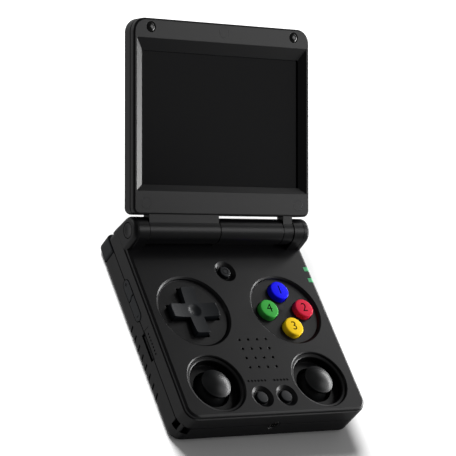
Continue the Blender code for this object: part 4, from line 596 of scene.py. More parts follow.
# %% Upper case: dishes, wells and holes
KEY_GAP = 0.25
CROSS = (10.65, 3.05)
FACE_RADIUS, SMALL_RADIUS = 4.17, 2.45
DPAD = centre_of("direction_pad")
FACES = centre_of("face_membrane")
STICKS = centres_of("stick_{}", "left right")
SMALL = centres_of("{}_button", "select start menu")
FACE_BUTTONS = centres_of("face_button_{}", "top left right bottom")
WELL_FLOOR = TOP - 4.6
BOSS, STICK_HOLE = 12.13, 7.76
join(upper_case, *(disc(c, BOSS, WELL_FLOOR - 1.17, CEILING + GAP, 108) for c in STICKS.values()))
dish = bowl([(15.1, DISH_FLOOR), (15.45, TOP - 0.55), (16.2, TOP)], 0.25)
well = [(10.8, WELL_FLOOR), (10.9, TOP - 1.3), (11.3, TOP - 1.0), (12.2, TOP - 0.9)]
well = bowl([*well, (12.3, TOP - 0.34), (12.75, TOP)], 0.1)
small_well = bowl([(3.1, DISH_FLOOR), (3.5, TOP - 0.9), (4.75, TOP)], 0.3)
cut(upper_case, *(turned(dish, c, steps=128) for c in (DPAD, FACES)))
cut(upper_case, *(turned(well, c, steps=128) for c in STICKS.values()))
cut(upper_case, *(turned(small_well, c) for c in SMALL.values()))


def cross_outline(reach, arm, radius=0.4):
    points = [
        (-arm, -reach), (arm, -reach), (arm, -arm), (reach, -arm), (reach, arm), (arm, arm),
        (arm, reach), (-arm, reach), (-arm, arm), (-reach, arm), (-reach, -arm), (-arm, -arm),
    ]
    return soften(points, radius, 4, closed=True)


under = CEILING - OVERRUN
cross_hole = shift(cross_outline(*(size + 0.6 for size in CROSS)), DPAD)
holes = [stacked(cross_hole, flare(under, DISH_FLOOR, 0.2))]
for centres, radius, rim in ((FACE_BUTTONS, FACE_RADIUS, 0.2), (SMALL, SMALL_RADIUS, 0.12)):
    levels = flare(under, DISH_FLOOR, rim)
    holes += [stacked(circle(c, radius + KEY_GAP), levels) for c in centres.values()]
holes += [disc(c, STICK_HOLE, WELL_FLOOR - 2.2, WELL_FLOOR + OVERRUN, 96) for c in STICKS.values()]
cut(upper_case, *holes)
tell("wells and holes cut", upper_case)

# %% [markdown]
# The walls carry the volume slot, the power and reset holes, the jack, the ports and the two status
# lights. Each slot and hole widens in a small rounding at its mouth.

# %% Side openings, shared by both halves
VOLUME_CENTRE = -24.1
VOLUME_SLOT = (19, 4.8)
CARD_CENTRE = centre_of("memory_card")[1]
LIGHTS = (-15.1, -20.5)
POWER, POWER_SLOT = centre_of("power_button")[1], (7.0, 3.4)
RESET, RESET_HOLE = centre_of("reset_button")[1], 1.7
JACK = (1.2, SEAM - 0.6)
PORT_Z = 12.5
PORTS = {"charging_port": (-5.25, 8.9), "video_port": (6.4, 11.2)}
inner = SIDE - WALL - OVERRUN
left_wall, right_wall = flare(-inner, -SIDE, 0.2, -1), flare(inner, SIDE, 0.2)
front_wall = flare(FRONT + WALL + OVERRUN, FRONT, 0.15, -1)
rear_wall = flare(REAR - WALL - OVERRUN, REAR, 0.2)
SIDE_OPENINGS = [
    stacked(slot_outline(VOLUME_CENTRE, SEAM, *VOLUME_SLOT), left_wall, along_x),
    stacked(slot_outline(POWER, SEAM, *POWER_SLOT), right_wall, along_x),
    stacked(circle((RESET, SEAM), RESET_HOLE), right_wall, along_x),
    stacked(circle(JACK, 2.55), front_wall, along_y),
]
for opening in SIDE_OPENINGS:
    cut(upper_case, opening)
outer = SIDE + OVERRUN
cut(upper_case, *(box(SIDE - 3.25, outer, y - 1.1, y + 1.1, TOP - 4.1, TOP + OVERRUN) for y in LIGHTS))
ports = [slot_outline(x, PORT_Z, width + 0.5, 3.7) for x, width in PORTS.values()]
cut(upper_case, *(stacked(port, rear_wall, along_y) for port in ports))
CORNER = (-SIDE, FRONT)
STRAP_ROOF = SEAM + 0.6


def strap_pocket(base, top):
    """The open corner that a wrist strap passes through."""
    outline = soften(shift(rectangle(-2, 5.0, -2, 5.0), CORNER), 1.0, 6, True)
    return prism(outline, base, top)


def strap_block(base, top):
    start = WALL - GAP
    return prism(shift(rectangle(start, 6.9, start, 6.9), CORNER), base, top)


join(upper_case, strap_block(UPPER_BASE + 0.1, STRAP_ROOF + 1.5))
cut(upper_case, strap_pocket(UPPER_BASE - OVERRUN, STRAP_ROOF))
bar_inset = FRONT_CORNER - (FRONT_CORNER - 0.85) * sqrt(0.5)
strap_bar = (CORNER[0] + bar_inset, CORNER[1] + bar_inset)
join(upper_case, disc(strap_bar, 1.0, 4.4, STRAP_ROOF + GAP, 32))
tell("side openings cut", upper_case)

# %% [markdown]
# The speaker holes stand on a square grid. A Geometry Nodes tree copies one punch to every point of
# a grid, and the copies become one cutter. The same tree makes the engraved dots, the grip notches,
# the contacts and the screws, each time with other numbers in its named inputs.

# %% Copies on a grid
GRID_INPUTS = {"Columns": "Int", "Rows": "Int", "Width": "Float", "Length": "Float", "Finish": "Material"}
grid_tree = bpy.data.node_groups.new("copies_on_a_grid", "GeometryNodeTree")
new_socket = grid_tree.interface.new_socket
for direction in ("OUTPUT", "INPUT"):
    new_socket("Geometry", in_out=direction, socket_type="NodeSocketGeometry")
SOCKETS = {
    name: new_socket(name, in_out="INPUT", socket_type="NodeSocket" + kind).identifier
    for name, kind in GRID_INPUTS.items()
}
given = add_node(grid_tree, "NodeGroupInput").outputs
counts = {"Vertices X": given["Columns"], "Vertices Y": given["Rows"]}
sizes = {"Size X": given["Width"], "Size Y": given["Length"]}
points = add_node(grid_tree, "GeometryNodeMeshGrid", counts | sizes).outputs["Mesh"]
placed = {"Points": points, "Instance": given["Geometry"]}
copies = add_node(grid_tree, "GeometryNodeInstanceOnPoints", placed).outputs["Instances"]
real = add_node(grid_tree, "GeometryNodeRealizeInstances", {"Geometry": copies}).outputs["Geometry"]
painted = {"Geometry": real, "Material": given["Finish"]}
painted = add_node(grid_tree, "GeometryNodeSetMaterial", painted).outputs["Geometry"]
add_node(grid_tree, "NodeGroupOutput", {"Geometry": painted})


def grid_of(thing, columns, rows, width, length, finish):
    """An object drawn round a grid's middle, copied to each of the grid's points."""
    copying = thing.modifiers.new("copies", "NODES")
    copying.node_group = grid_tree
    values = (columns, rows, width * MM, length * MM, finish)
    for name, value in zip(GRID_INPUTS, values):
        copying[SOCKETS[name]] = value
    settle(thing)
    return thing


print("grid tree:", len(grid_tree.nodes), "nodes")
GRILLE = centre_of("speaker_unit")
GRILLE_PITCH = 4.21
punch = stacked(circle(GRILLE, 0.55, 20), flare(under, TOP, 0.12, 1, 3))
punches = grid_of(solid("punches", punch), 4, 4, 3 * GRILLE_PITCH, 3 * GRILLE_PITCH, textured_abs)
combine(upper_case, "DIFFERENCE", punches)
tell("speaker holes cut", upper_case)

# %% [markdown]
# Shallow marks are engraved in the mould: a row of dots behind each of the two front buttons, and on
# the left wall a bracket with dots over the card slot. They are generic marks, cut a little way in,
# with painted shade on their floors.

# %% Engraved marks
MARK_DEPTH = 0.25
LABEL_OFFSET = 7.0


def engrave_dots(name, shape, columns, rows, pitch):
    """Dots engraved in the upper case, in rows along X or along Y, with painted shade on their floors."""
    runs = (columns - 1) * pitch, (rows - 1) * pitch
    combine(upper_case, "DIFFERENCE", grid_of(solid(name, shape), columns, rows, *runs, engraving_shade_paint), True)


for key, count in (("select", 6), ("start", 5)):
    x, y = SMALL[key]
    dot = disc((x, y + LABEL_OFFSET), 0.5, TOP - MARK_DEPTH, TOP + OVERRUN, 16)
    engrave_dots("label_dots", dot, count, 1, 1.55)
wall_marks = (-outer, -SIDE + MARK_DEPTH)
engrave_dots("wall_dots", prism(circle((-45.5, 11.7), 0.45, 16), *wall_marks, along_x), 1, 7, 1.5)
bracket = [(-51.3, 9.6), (-38.4, 9.6), (-38.4, 13.1), (-38.65, 13.1), (-38.65, 9.85), (-51.3, 9.85)]
cut(upper_case, prism(bracket, *wall_marks, along_x), finish=engraving_shade_paint)
tell("marks engraved", upper_case)

# %% [markdown]
# ## Lower case
#
# The lower half has a large soft edge underneath, slanting grip notches along both sides, and open
# pockets in its rear corners where the shoulder buttons move.

# %% Lower case
levels = rounded_base(0, 2.6, 12) + rounded_top(LOWER_TOP, EDGE, 1)
lower_case = solid("lower_case", stacked(body_outline, levels), textured_abs)
cut(lower_case, prism(inset_outline(body_outline, WALL), 1.8, LOWER_TOP + OVERRUN))
POCKET_INNER = local_box("shoulder_right_inner")[0][0] - 0.4
POCKET_FRONT = -1.2
block = (POCKET_INNER - 1.4, SIDE - WALL + GAP, POCKET_FRONT - 1.4, REAR - WALL + GAP)
block = box(*block, 1.5, LOWER_TOP - GAP)
join(lower_case, block, mirrored(block), strap_block(1.5, LOWER_TOP - GAP))
pocket = box(POCKET_INNER, outer, POCKET_FRONT, REAR + OVERRUN, 0.9, LOWER_TOP + OVERRUN)
cut(lower_case, pocket, mirrored(pocket), strap_pocket(5.8, LOWER_TOP + OVERRUN))
PEGS, PEG_RISE = {}, 0.075
for part in ("outer", "inner"):
    low, high = local_box(f"shoulder_right_{part}")
    PEGS[part] = ((low[0] + high[0]) / 2, (low[2] + high[2]) / 2 + PEG_RISE)
    peg_hole = post(1.3, POCKET_FRONT - 2.5, POCKET_FRONT + OVERRUN)
    peg_hole = turned(peg_hole, PEGS[part], along_y, 32)
    cut(lower_case, peg_hole, mirrored(peg_hole))
card_slot = (-outer, -SIDE + 3, CARD_CENTRE - 6, CARD_CENTRE + 6, 7.3, LOWER_TOP + OVERRUN)
cut(lower_case, *SIDE_OPENINGS, box(*card_slot))
scoop = soften([(-4.2, 2), (-3.6, -1.5), (3.6, -1.5), (4.2, 2)], 0.8, 5, True)
scoop = shift(scoop, (CARD_CENTRE, LOWER_TOP))
cut(lower_case, stacked(scoop, flare(-SIDE + 1.1, -SIDE, 0.15, -1), along_x))
SCREWS = centres_of("case_screw_{}", "1 2 3 4 5 6")
cut(lower_case, *(disc(c, 2.05, -OVERRUN, 1.6, 40) for c in SCREWS.values()))
FIRST_NOTCH, NOTCHES, NOTCH_PITCH = -34.96, 8, 4.35
notch_run = (NOTCHES - 1) * NOTCH_PITCH
lean = 2.0 / 4.2
notch = soften([(-lean, -1), (1 - lean, -1), (3.0, 4.2), (2.0, 4.2)], 0.3, 4, True)
notch = prism(shift(notch, (FIRST_NOTCH - notch_run / 2, 0)), -0.9, 0.9, along_x)
notches = grid_of(solid("notches", notch), 2, NOTCHES, 2 * SIDE + 0.2, notch_run, textured_abs)
combine(lower_case, "DIFFERENCE", notches)
tell("lower case", lower_case)
complete(upper_case, "base", "shell_black", "upper_shell")
complete(lower_case, "base", "shell_black", "lower_shell")

# %% [markdown]
# ## Lid
#
# The lid's front moulding holds the screen in a deep bevelled frame, and its two knuckles turn on
# the hinge. Their bores are out of sight, so the knuckles are left closed. The back moulding is a
# shallow tray with a full soft edge.

# %% Lid
BEZEL_BACK = COVER_FRONT + GAP
lid_outline = cornered(-SIDE, SIDE, LID_FOOT, LID_TOP, (2.7, 2.7, 5.7, 5.7), 14)
levels = rounded_base(BEZEL_BACK, EDGE, 1) + rounded_top(LID_FACE, 0.9, 10)
lid_front = solid("lid_front", stacked(lid_outline, levels), textured_abs, LID)
tab_face = LID_FACE - 0.3
for left, right in ((LEFT_SEAM, CENTRE_LEFT), (CENTRE_RIGHT, RIGHT_SEAM)):
    ends = (left + GAP / 2, right - GAP / 2)
    tab = box(ends[0] + 0.2, ends[1] - 0.2, 2.8, LID_FOOT + 0.7, tab_face - 4.2, tab_face)
    join(lid_front, tab, place=LID)
    join(lid_front, barrel(*ends, (0, 0)), place=LID)
LIP_BACK = LID_FACE - 1.95
FRAME = (1.4, 9.37, 7.73)
BEVEL_SHARE = 0.96


def screen_rectangle(side, bottom, top, grow=0.0):
    across = SIDE - side + grow
    return rectangle(-across, across, LID_FOOT + bottom - grow, LID_TOP - top + grow)


cut(lid_front, prism(inset_outline(lid_outline, 1.4), BEZEL_BACK - OVERRUN, LIP_BACK), place=LID)
window = screen_rectangle(4.7, 11.75, 12.61)
pairs = zip(window, screen_rectangle(*FRAME))
near_edge = [tuple(p + (q - p) * BEVEL_SHARE for p, q in zip(a, b)) for a, b in pairs]
frame_edge = screen_rectangle(*FRAME, EDGE)
bevel = lofted([
    (window, LIP_BACK - OVERRUN), (window, LID_FACE - 1.55), (near_edge, LID_FACE - 0.07),
    (frame_edge, LID_FACE), (frame_edge, LID_FACE + OVERRUN),
])
cut(lid_front, bevel, place=LID)
PLUGS = centres_of("screw_cover_{}", "left right top", LID)
BUMPERS = centres_of("bumper_{}", "left right", LID)
seats = [stacked(circle(c, 2.18), flare(LID_FACE - 0.75, LID_FACE, 0.02, 1, 2)) for c in PLUGS.values()]
seats += [stacked(circle(c, 2.08), flare(LID_FACE - 0.9, LID_FACE, 0.1)) for c in BUMPERS.values()]
cut(lid_front, *seats, place=LID)
complete(lid_front, "lid", "shell_black", "lid_bezel", angle=16)
levels = rounded_base(LID_BACK, 2.0, 12) + rounded_top(COVER_FRONT, EDGE, 1)
lid_back = solid("lid_back", stacked(lid_outline, levels), textured_abs, LID)
cut(lid_back, prism(inset_outline(lid_outline, 2.1), LID_BACK + 1.4, COVER_FRONT + OVERRUN), place=LID)
complete(lid_back, "lid", "shell_black", "lid_cover")
tell("lid front", lid_front)
tell("lid back", lid_back)

# %% [markdown]
# Two rubber bumpers keep the closed lid off the keys, and three flat plugs hide its screws. The
# bumpers are low domes that catch one glint each. The plugs lie flush, so only a hair line shows.

# %% Lid fittings
BUMPER, PLUG = 1.95, 2.15
for side, centre in BUMPERS.items():
    node = f"bumper_{side}"
    low, high = local_box(node, LID)
    rise = high[2] - LID_FACE + 0.5
    turns = [radians(6 * i) for i in range(15)]
    dome = [(BUMPER * cos(t), high[2] - rise * (1 - sin(t))) for t in turns]
    profile = [(0, low[2]), (BUMPER, low[2])] + dome + [(0, high[2])]
    foot = solid(f"foot_{side}", turned(profile, centre), foot_rubber, LID)
    complete(foot, "lid", "rubber_black", node)
for side, centre in PLUGS.items():
    node = f"screw_cover_{side}"
    low = local_box(node, LID)[0][2]
    plug = turned(soften(post(PLUG, low, LID_FACE), 0.03, 2), centre)
    plug = solid(f"screw_plug_{side}", plug, textured_abs, LID)
    complete(plug, "lid", "rubber_black", node, angle=20)
tell("bumpers", foot)
tell("screw plugs", plug)

# %% [markdown]
# ## Direction pad
#
# The pad is one moulded cross with soft edges. Its top sinks towards the middle, where there is a
# thumb dimple: a turned cutter takes out a shallow bowl and the dimple together.

# %% Direction pad
pad_low, pad_high = local_box("direction_pad")
PAD_BASE, PAD_TOP = pad_low[2], pad_high[2]
levels = [(0, PAD_BASE + 0.4)] + rounded_top(PAD_TOP, 0.35, 5)
pad = solid("cross_pad", stacked(shift(cross_outline(*CROSS, 0.45), DPAD), levels), satin_abs)
join(pad, disc(DPAD, 12.2, PAD_BASE, PAD_BASE + 0.8))
HOLLOW, HOLLOW_DEPTH = CROSS[0] + 0.3, 0.8
DIMPLE, DIMPLE_DEPTH = 2.7, 0.62
radii = [DIMPLE * i / 10 for i in range(11)]
radii += [DIMPLE + (HOLLOW - DIMPLE) * i / 16 for i in range(1, 17)]
profile = []
for r in radii:
    sunk = HOLLOW_DEPTH * (1 - (r / HOLLOW) ** 2) + DIMPLE_DEPTH * max(0.0, 1 - (r / DIMPLE) ** 2)
    profile.append((r, PAD_TOP - sunk))
profile += [(HOLLOW, PAD_TOP + OVERRUN), (0, PAD_TOP + OVERRUN)]
cut(pad, turned(profile, DPAD, steps=128))
complete(pad, "dpad", "key_black", "direction_pad", angle=40)
tell("direction pad", pad)

# %% [markdown]
# ## Buttons
#
# Each face button is turned: a flange under the case, a straight wall and a soft upper edge. Plain
# figures are engraved in them, and their floors carry painted shade.

# %% Face buttons
FACE_KEYS = {"top": ("blue", "1"), "left": ("green", "4"), "right": ("red", "2"), "bottom": ("yellow", "3")}


def key_profile(low, top, flange, thickness, radius, fillet, steps):
    foot = [(0, low), (flange, low), (flange, low + thickness), (radius, low + thickness)]
    return foot + [(radius - a, b) for a, b in rounded_top(top, fillet, steps)] + [(0, top)]


def numeral(figure, height, centre, low, high):
    """A figure of Blender's own font as a closed solid in millimetres."""
    curve = bpy.data.curves.new("numeral", "FONT")
    curve.body, curve.size = figure, height / 0.7
    curve.align_x = curve.align_y = "CENTER"
    curve.resolution_u = 5
    curve.extrude = (high - low) / 2
    thing = new_object("numeral", curve)
    form = bmesh.new()
    form.from_mesh(live_mesh(thing))
    bmesh.ops.remove_doubles(form, verts=form.verts, dist=0.0005)
    bmesh.ops.dissolve_limit(form, angle_limit=0.01, verts=form.verts, edges=form.edges)
    bmesh.ops.triangulate(form, faces=form.faces, ngon_method="BEAUTY")
    form.verts.index_update()
    middle = (high + low) / 2
    points = [(v.co.x + centre[0], v.co.y + centre[1], v.co.z + middle) for v in form.verts]
    faces = [tuple(v.index for v in face.verts) for face in form.faces]
    form.free()
    bpy.data.objects.remove(thing)
    return points, faces


for key, (colour, figure) in FACE_KEYS.items():
    centre = FACE_BUTTONS[key]
    low, high = (corner[2] for corner in local_box(f"face_button_{key}"))
    profile = key_profile(low, high, 5, 1.1, FACE_RADIUS, 0.5, 7)
    button = solid(f"action_button_{key}", turned(profile, centre, steps=96), button_abs[colour])
    cut(button, numeral(figure, 3.9, centre, high - MARK_DEPTH, high + 0.5), finish=engraving_shade_paint)
    complete(button, f"{key}_button", f"button_{colour}", f"face_button_{key}")
tell("face buttons", button)

# %% [markdown]
# Select, start and menu are turned like the face buttons, smaller and in the satin black of the
# other keys. The menu button has a plain engraved ring with painted shade on its floor.

# %% Small buttons
for key, centre in SMALL.items():
    low, high = (corner[2] for corner in local_box(f"{key}_button"))
    profile = key_profile(low, high, 3.4, 1.2, SMALL_RADIUS, 0.35, 6)
    button = solid(f"{key}_key", turned(profile, centre), satin_abs)
    if key == "menu":
        ring = rectangle(1.0, 1.3, high - 0.12, high + 0.5)
        cut(button, turned(ring, centre, steps=48, ring=True), finish=engraving_shade_paint)
    complete(button, key, "key_black", f"{key}_button")
tell("small buttons", button)

# %% [markdown]
# ## Thumb sticks
#
# A stick is a rubber cap on a neck, with a round skirt that hides the hole in the well's floor while
# it tilts. The skirt is a part of a sphere round the pivot. The cap's dome is steep enough at its edge
# to turn towards the light, which gives it the bright side that the photograph shows.

# %% Sticks
PIVOT = TOP - 9.4
BALL, SHAFT, NECK = 2.0, 1.3, 2.6
SKIRT_INNER, SKIRT_OUTER, SKIRT_EDGE = 6.5, 7.4, 12
CAP_BASE, CAP_RIM, CAP_RADIUS, DOME_RISE = PIVOT + 8.0, PIVOT + 9.0, 6.2, 2.2


def meets(part, radius):
    """The angle at which an arc round the pivot meets a straight part of the stick."""
    return degrees(acos(part / radius))


pivot = (0, PIVOT)
stick_line = [(0, PIVOT - BALL)] + arc(pivot, BALL, -90, meets(SHAFT, BALL), 6)[1:]
stick_line += arc(pivot, SKIRT_INNER, meets(SHAFT, SKIRT_INNER), SKIRT_EDGE, 12)
stick_line += arc(pivot, SKIRT_OUTER, SKIRT_EDGE, meets(NECK, SKIRT_OUTER), 14)
rim = [(NECK, CAP_BASE), (CAP_RADIUS, CAP_BASE), (CAP_RADIUS, CAP_RIM), (CAP_RADIUS - 0.6, CAP_RIM + 0.4)]
stick_line += soften(rim, 0.3, 5)[:-1]
dome = CAP_RADIUS - 0.15
sphere = (dome**2 + DOME_RISE**2) / (2 * DOME_RISE)
for r in (dome * i / 20 for i in range(19, 0, -1)):
    stick_line.append((r, CAP_RIM + DOME_RISE - sphere + sqrt(sphere**2 - r**2)))
stick_line.append((0, CAP_RIM + DOME_RISE))
for side, centre in STICKS.items():
    stick = solid(f"thumb_stick_{side}", turned(stick_line, centre, steps=96), stick_rubber)
    complete(stick, f"{side}_stick", "rubber_black", f"stick_{side}")
tell("thumb sticks", stick)

# %% [markdown]
# ## Side keys
#
# The two volume keys share one slot and meet at a leaning wave, so a thumb can tell them apart. Each
# key is its outline stacked to a soft face, with a lip inside the wall that keeps it from falling out.

# %% Volume keys
SPLIT, SPLIT_GAP = VOLUME_CENTRE + 1.0, 0.225
LIP = 4.3
key_half = VOLUME_SLOT[1] / 2 - KEY_GAP
key_reach = (VOLUME_SLOT[0] - VOLUME_SLOT[1]) / 2
wave = [(-0.5, -key_half), (-0.5, -key_half / 3), (0.5, key_half / 3), (0.5, key_half)]


def volume_outline(sign):
    """One key as (y, z): its round end, closed by the wave."""
    end = arc((VOLUME_CENTRE + sign * key_reach, SEAM), key_half, -90, 90 if sign > 0 else -270, 16)
    edge = shift(wave, (SPLIT + sign * SPLIT_GAP, SEAM))
    return end + (edge[::-1] if end[-1][1] > SEAM else edge)


def side_key(name, outline, back, face, lip, fillet):
    """A key in a side wall, from its back to a soft face, with a lip given as (y, z) limits."""
    sign = 1 if face > back else -1
    levels = [(0, back + sign * 0.5)]
    levels += [(inset, sign * height) for inset, height in rounded_top(sign * face, fillet)]
    key = solid(name, stacked(outline, levels, along_x), satin_abs)
    join(key, box(*sorted((back, back + sign * 0.9)), *lip))
    return key


for part, sign in (("up", 1), ("down", -1)):
    node = f"volume_{part}_key"
    low, high = local_box(node)
    near, far = SPLIT + sign * 0.8, (high if sign > 0 else low)[1]
    middle, half = (near + far) / 2, min(LIP, abs(far - near) / 2)
    lip = (middle - half, middle + half, low[2], high[2])
    key = side_key(f"volume_{part}", volume_outline(sign), high[0], low[0], lip, 0.3)
    # The up key gets an engraved plus and the down key a single bar; their floors carry painted shade.
    y = VOLUME_CENTRE + sign * 7.4
    for wide, tall in ((0.17, 0.8), (0.8, 0.17))[:1 if sign < 0 else 2]:
        bar = (low[0] - OVERRUN, low[0] + 0.15, y - wide, y + wide, SEAM - tall, SEAM + tall)
        cut(key, box(*bar), finish=engraving_shade_paint)
    complete(key, f"volume_{part}", "key_black", node)
tell("volume keys", key)

# %% Power and reset buttons
POWER_KEY = [size - 2 * KEY_GAP for size in POWER_SLOT]
for part, outline in (
    ("power", slot_outline(POWER, SEAM, *POWER_KEY)),
    ("reset", circle((RESET, SEAM), RESET_HOLE - KEY_GAP, 48)),
):
    node = f"{part}_button"
    low, high = local_box(node)
    lip = (low[1], high[1], low[2], high[2])
    key = side_key(f"{part}_key", outline, low[0], high[0], lip, 0.25)
    complete(key, part, "key_black", node)
tell("power and reset buttons", key)

# %% [markdown]
# ## Shoulder buttons
#
# Four buttons stand in the open rear corners of the lower case. Each is a plate with soft edges in
# the satin plastic of the other keys, with three grip grooves in its rear face and a peg that
# presses the switch. The left pair is the right pair mirrored.

# %% Shoulder buttons
PLATE_FRONT = -0.3
for part, radii in (("outer", (1.2, 1.2, 3.0, 1.2)), ("inner", (1.2, 1.2, 1.2, 1.2))):
    low, high = local_box(f"shoulder_right_{part}")
    levels = rounded_base(low[2], 0.7) + rounded_top(high[2], 0.7)
    plate = stacked(cornered(low[0], high[0], PLATE_FRONT, high[1], radii), levels)
    peg = turned(post(1.0, low[1], PLATE_FRONT + 0.5), PEGS[part], along_y, 24)
    groove = (low[0] + 2.2, high[0] - 3.4, high[1] - 0.25, high[1] + OVERRUN)
    grooves = together(box(*groove, z - 0.15, z + 0.15) for z in (3.4, 4.8, 6.2))
    shapes = {"right": (plate, peg, grooves), "left": map(mirrored, (plate, peg, grooves))}
    for side, (plate, peg, grooves) in shapes.items():
        key = solid(f"shoulder_key_{side}_{part}", plate, satin_abs)
        join(key, peg)
        cut(key, grooves)
        complete(key, f"{side}_{part}_shoulder", "key_black", f"shoulder_{side}_{part}")
tell("shoulder buttons", key)

# %% [markdown]
# ## Hinge caps and status lights
#
# Each end of the hinge is closed by a small pressed-in cap. The status lights are one acrylic piece:
# it has the case's own outer surface, so it is that surface cut down to two windows.

# %% Hinge caps and status lights
for side, sign in (("left", -1), ("right", 1)):
    low, high = local_box(f"hinge_cap_{side}")
    inner, face = sorted((low[0], high[0]), key=abs)
    sunk = face - sign * 0.12
    line = soften(post(CAP, inner, face), 0.2, 4)[:-1] + [(2.0, face), (1.8, sunk), (0, sunk)]
    cap = solid(f"hinge_cap_disc_{side}", turned(line, (0, AXIS_Z), along_x), textured_abs)
    complete(cap, "base", "shell_black", f"hinge_cap_{side}")
low, high = local_box("light_guide")
lights = solid("status_lights", stacked(body_outline, outside), light_acrylic)
windows = [box(low[0], outer, y - 1.0, y + 1.0, low[2], TOP + OVERRUN) for y in LIGHTS]
combine(lights, "INTERSECT", solid("windows", together(windows)))
join(lights, box(low[0], low[0] + 0.9, low[1], high[1], 13.5, 14.4))
complete(lights, "base", "light_green", "light_guide")
tell("hinge caps", cap)
tell("status lights", lights)

# %% [markdown]
# ## Sockets and card
#
# Each port is a folded nickel shell round a nylon tongue with gold contacts. The jack has a nylon
# nose with a steel sleeve in its bore. The card shows only its end, which has a ridge for a nail.

# %% Ports
for name, (x, width) in PORTS.items():
    low, high = local_box(name)
    height = high[2] - low[2]
    shell = prism(slot_outline(x, PORT_Z, width, height), low[1], high[1], along_y)
    shell = solid(f"{name}_shell", shell, nickel)
    bore = slot_outline(x, PORT_Z, width - 0.7, height - 0.7)
    cut(shell, prism(bore, low[1] + 0.8, high[1] + OVERRUN, along_y))
    complete(shell, "base", "steel", name)
    reach = width / 2 - 1.5
    tongue = box(x - reach, x + reach, low[1] + 0.6, high[1] - 0.7, PORT_Z - 0.35, PORT_Z + 0.35)
    complete(solid(f"{name}_tongue", tongue, socket_plastic), "base", "key_black")
    contact = box(x - 0.13, x + 0.13, 1.6, high[1] - 0.9, PORT_Z - 0.39, PORT_Z + 0.39)
    contacts = grid_of(solid(f"{name}_contacts", contact), 10, 1, 2 * reach - 0.8, 0, gold)
    complete(contacts, "base", "steel")
tell("ports", shell)

# %% Jack and memory card
JACK_BORE, JACK_NOSE, JACK_BODY = 1.75, 2.3, 2.5
BORE_END, NOSE_END = -74.0, -79.3
low, high = local_box("headphone_jack")
line = [(0, BORE_END), (JACK_BORE, BORE_END), (JACK_BORE, low[1] + 0.15), (1.9, low[1])]
line += [(2.15, low[1]), (JACK_NOSE, low[1] + 0.15), (JACK_NOSE, NOSE_END), (JACK_BODY, NOSE_END)]
line += [(JACK_BODY, high[1]), (0, high[1])]
jack = solid("jack_body", turned(line, JACK, along_y), socket_plastic)
complete(jack, "base", "steel", "headphone_jack")
sleeve = turned([(1.5, -74.2), (1.74, -74.2), (1.74, -81.2), (1.5, -81.2)], JACK, along_y, 48, ring=True)
complete(solid("jack_sleeve", sleeve, nickel), "base", "steel")
low, high = local_box("memory_card")
levels = rounded_base(low[2], EDGE, 1) + rounded_top(high[2], EDGE, 1)
card = stacked(cornered(low[0], high[0], low[1], high[1], (0.6, 1.4, 0.6, 0.6)), levels)
card = solid("memory_card_body", card, socket_plastic)
for start in (low[0], low[0] + 0.9):
    nail = shift([(0.5, -0.15), (0.9, -0.15), (1.0, 1), (0.4, 1)], (start, high[2]))
    cut(card, prism(nail, CARD_CENTRE - 4, CARD_CENTRE + 4, along_y))
complete(card, "card", "key_black", "memory_card")
contact = (high[0] - 3.2, high[0] - 0.6, CARD_CENTRE - 0.4, CARD_CENTRE + 0.4)
contact = box(*contact, low[2] - 0.02, low[2] + 0.1)
contacts = grid_of(solid("card_contacts", contact), 1, 8, 0, 7 * 1.15, gold)
complete(contacts, "card", "steel")

# %% [markdown]
# ## Case screws
#
# Six screws close the case from underneath. One screw is turned and gets its cross recess, and the
# grid tree copies it: four stand at the corners of one grid, and two at the ends of another.

# %% Case screws
low, high = local_box("case_screw_1")
HEAD, THREAD, HEAD_HEIGHT = (high[0] - low[0]) / 2, 0.95, 1.0
line = [(0, low[2]), (HEAD, low[2]), (HEAD, low[2] + HEAD_HEIGHT), (THREAD, low[2] + HEAD_HEIGHT)]
line = soften(line, 0.3, 4) + [(THREAD, high[2] - 0.6), (0.5, high[2]), (0, high[2])]
for name, numbers in (("side", "1234"), ("front", "56")):
    spots = list(zip(*(SCREWS[number] for number in numbers)))
    middle = tuple(sum(values) / len(values) for values in spots)
    screw = solid(f"case_screws_{name}", turned(line, middle, steps=40), dark_steel)
    recess = shift(cross_outline(1.05, 0.2, 0.05), middle)
    cut(screw, prism(recess, low[2] - OVERRUN, low[2] + 0.6))
    counts = [len({round(value) for value in values}) for values in spots]
    screws = grid_of(screw, *counts, *(max(values) - min(values) for values in spots), dark_steel)
    complete(screws, "base", "steel", *(f"case_screw_{number}" for number in numbers))
tell("case screws", screws)

# %% [markdown]
# ## Light, floor and camera
#
# The floor is matt and white, lit by a lamp of its own from the rear left. It keeps the object's
# shadow, which falls to the front, and the black front wall mirrors that shadow. The world is a dim
# even fill, so nothing on the object is pure black.

# %% Floor and world
floor_mesh = bpy.data.meshes.new("floor")
floor_mesh.from_pydata([(-3, -3, 0), (3, -3, 0), (3, 3, 0), (-3, 3, 0)], [], [(0, 1, 2, 3)])
floor = new_object("floor", floor_mesh)
floor.location.z = -0.0002
floor_paint, _, shader = new_material("white_paper_floor")
feed(shader, {"Base Color": linear("#fafafa"), "Roughness": 1.0, "Specular IOR Level": 0.0})
floor_mesh.materials.append(floor_paint)
world = bpy.data.worlds.new("studio")
scene.world = world
world.use_nodes = True
feed(world.node_tree.nodes["Background"], {"Color": (1, 1, 1, 1), "Strength": 0.2})
print("floor and world:", floor.name, world.name)


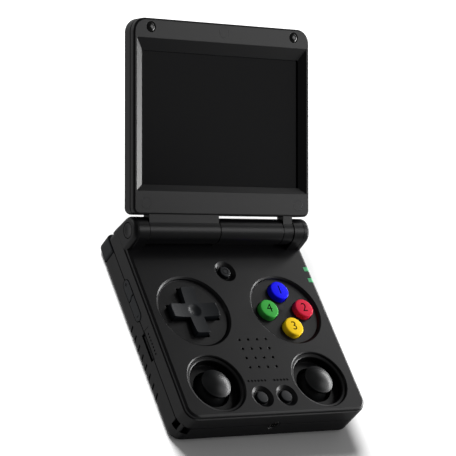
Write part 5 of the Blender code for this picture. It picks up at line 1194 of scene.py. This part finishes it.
# %% [markdown]
# Nearly all that shows on black plastic is reflection, so each lamp stands where one family of faces
# mirrors it to the camera. The key is low on the right, for the rims and the screen's left bevel. The
# screen lamp is for the lid's face, the face lamp for the top plate, and the edge lamp gives the keys
# their thin glints. The side and top lamps are weak fills. Light linking keeps all of these off the
# floor, and the floor's own lamp off the object.

# %% Lamps
def softbox(name, azimuth, elevation, distance, size, power):
    """An area lamp that faces the object from a direction in degrees."""
    lamp = bpy.data.lights.new(name, "AREA")
    lamp.shape = "RECTANGLE"
    lamp.size, lamp.size_y = size
    lamp.energy = power
    thing = new_object(name, lamp)
    a, e = radians(azimuth), radians(elevation)
    away = Vector((cos(e) * cos(a), cos(e) * sin(a), sin(e)))
    thing.location = away * distance + Vector((0, 0, 0.03))
    thing.rotation_euler = away.to_track_quat("Z", "Y").to_euler()
    return thing


LAMPS = {
    "key_light": (2, 7, 0.6, (0.68, 0.14), 13.0),
    "screen_light": (-24, 47, 0.9, (0.36, 0.5), 4.4),
    "face_light": (24, 32, 0.9, (0.5, 0.4), 1.9),
    "edge_light": (30, 22, 0.7, (0.14, 0.06), 1.0),
    "side_light": (140, 8, 0.6, (0.4, 0.2), 1.2),
    "top_light": (100, 66, 1.2, (0.8, 0.8), 0.4),
}
not_floor, floor_only = (bpy.data.collections.new(name) for name in ("not_floor", "floor_only"))
not_floor.objects.link(floor)
floor_only.objects.link(floor)
for name, values in LAMPS.items():
    softbox(name, *values).light_linking.receiver_collection = not_floor
not_floor.collection_objects[0].light_linking.link_state = "EXCLUDE"
floor_lamp = softbox("floor_light", 108, 46, 1.2, (0.6, 0.6), 28.0)
floor_lamp.light_linking.receiver_collection = floor_only
print("lamps:", len(bpy.data.lights))

# %% [markdown]
# The camera's place, turn and lens were fitted to lines measured in the photograph.

# %% Camera
view = bpy.data.cameras.new("camera")
view.lens = 161.28
view.sensor_width = 36
view.clip_start = 0.01
camera = new_object("camera", view)
camera.location = (-0.46392, -0.3869452, 0.56396)
camera.rotation_euler = [radians(a) for a in (41.4347, -28.01686, -21.89138)]
scene.camera = camera
scene.view_settings.view_transform = "Standard"
print("camera:", round(camera.location.length, 3), "m away, lens", round(view.lens), "mm")
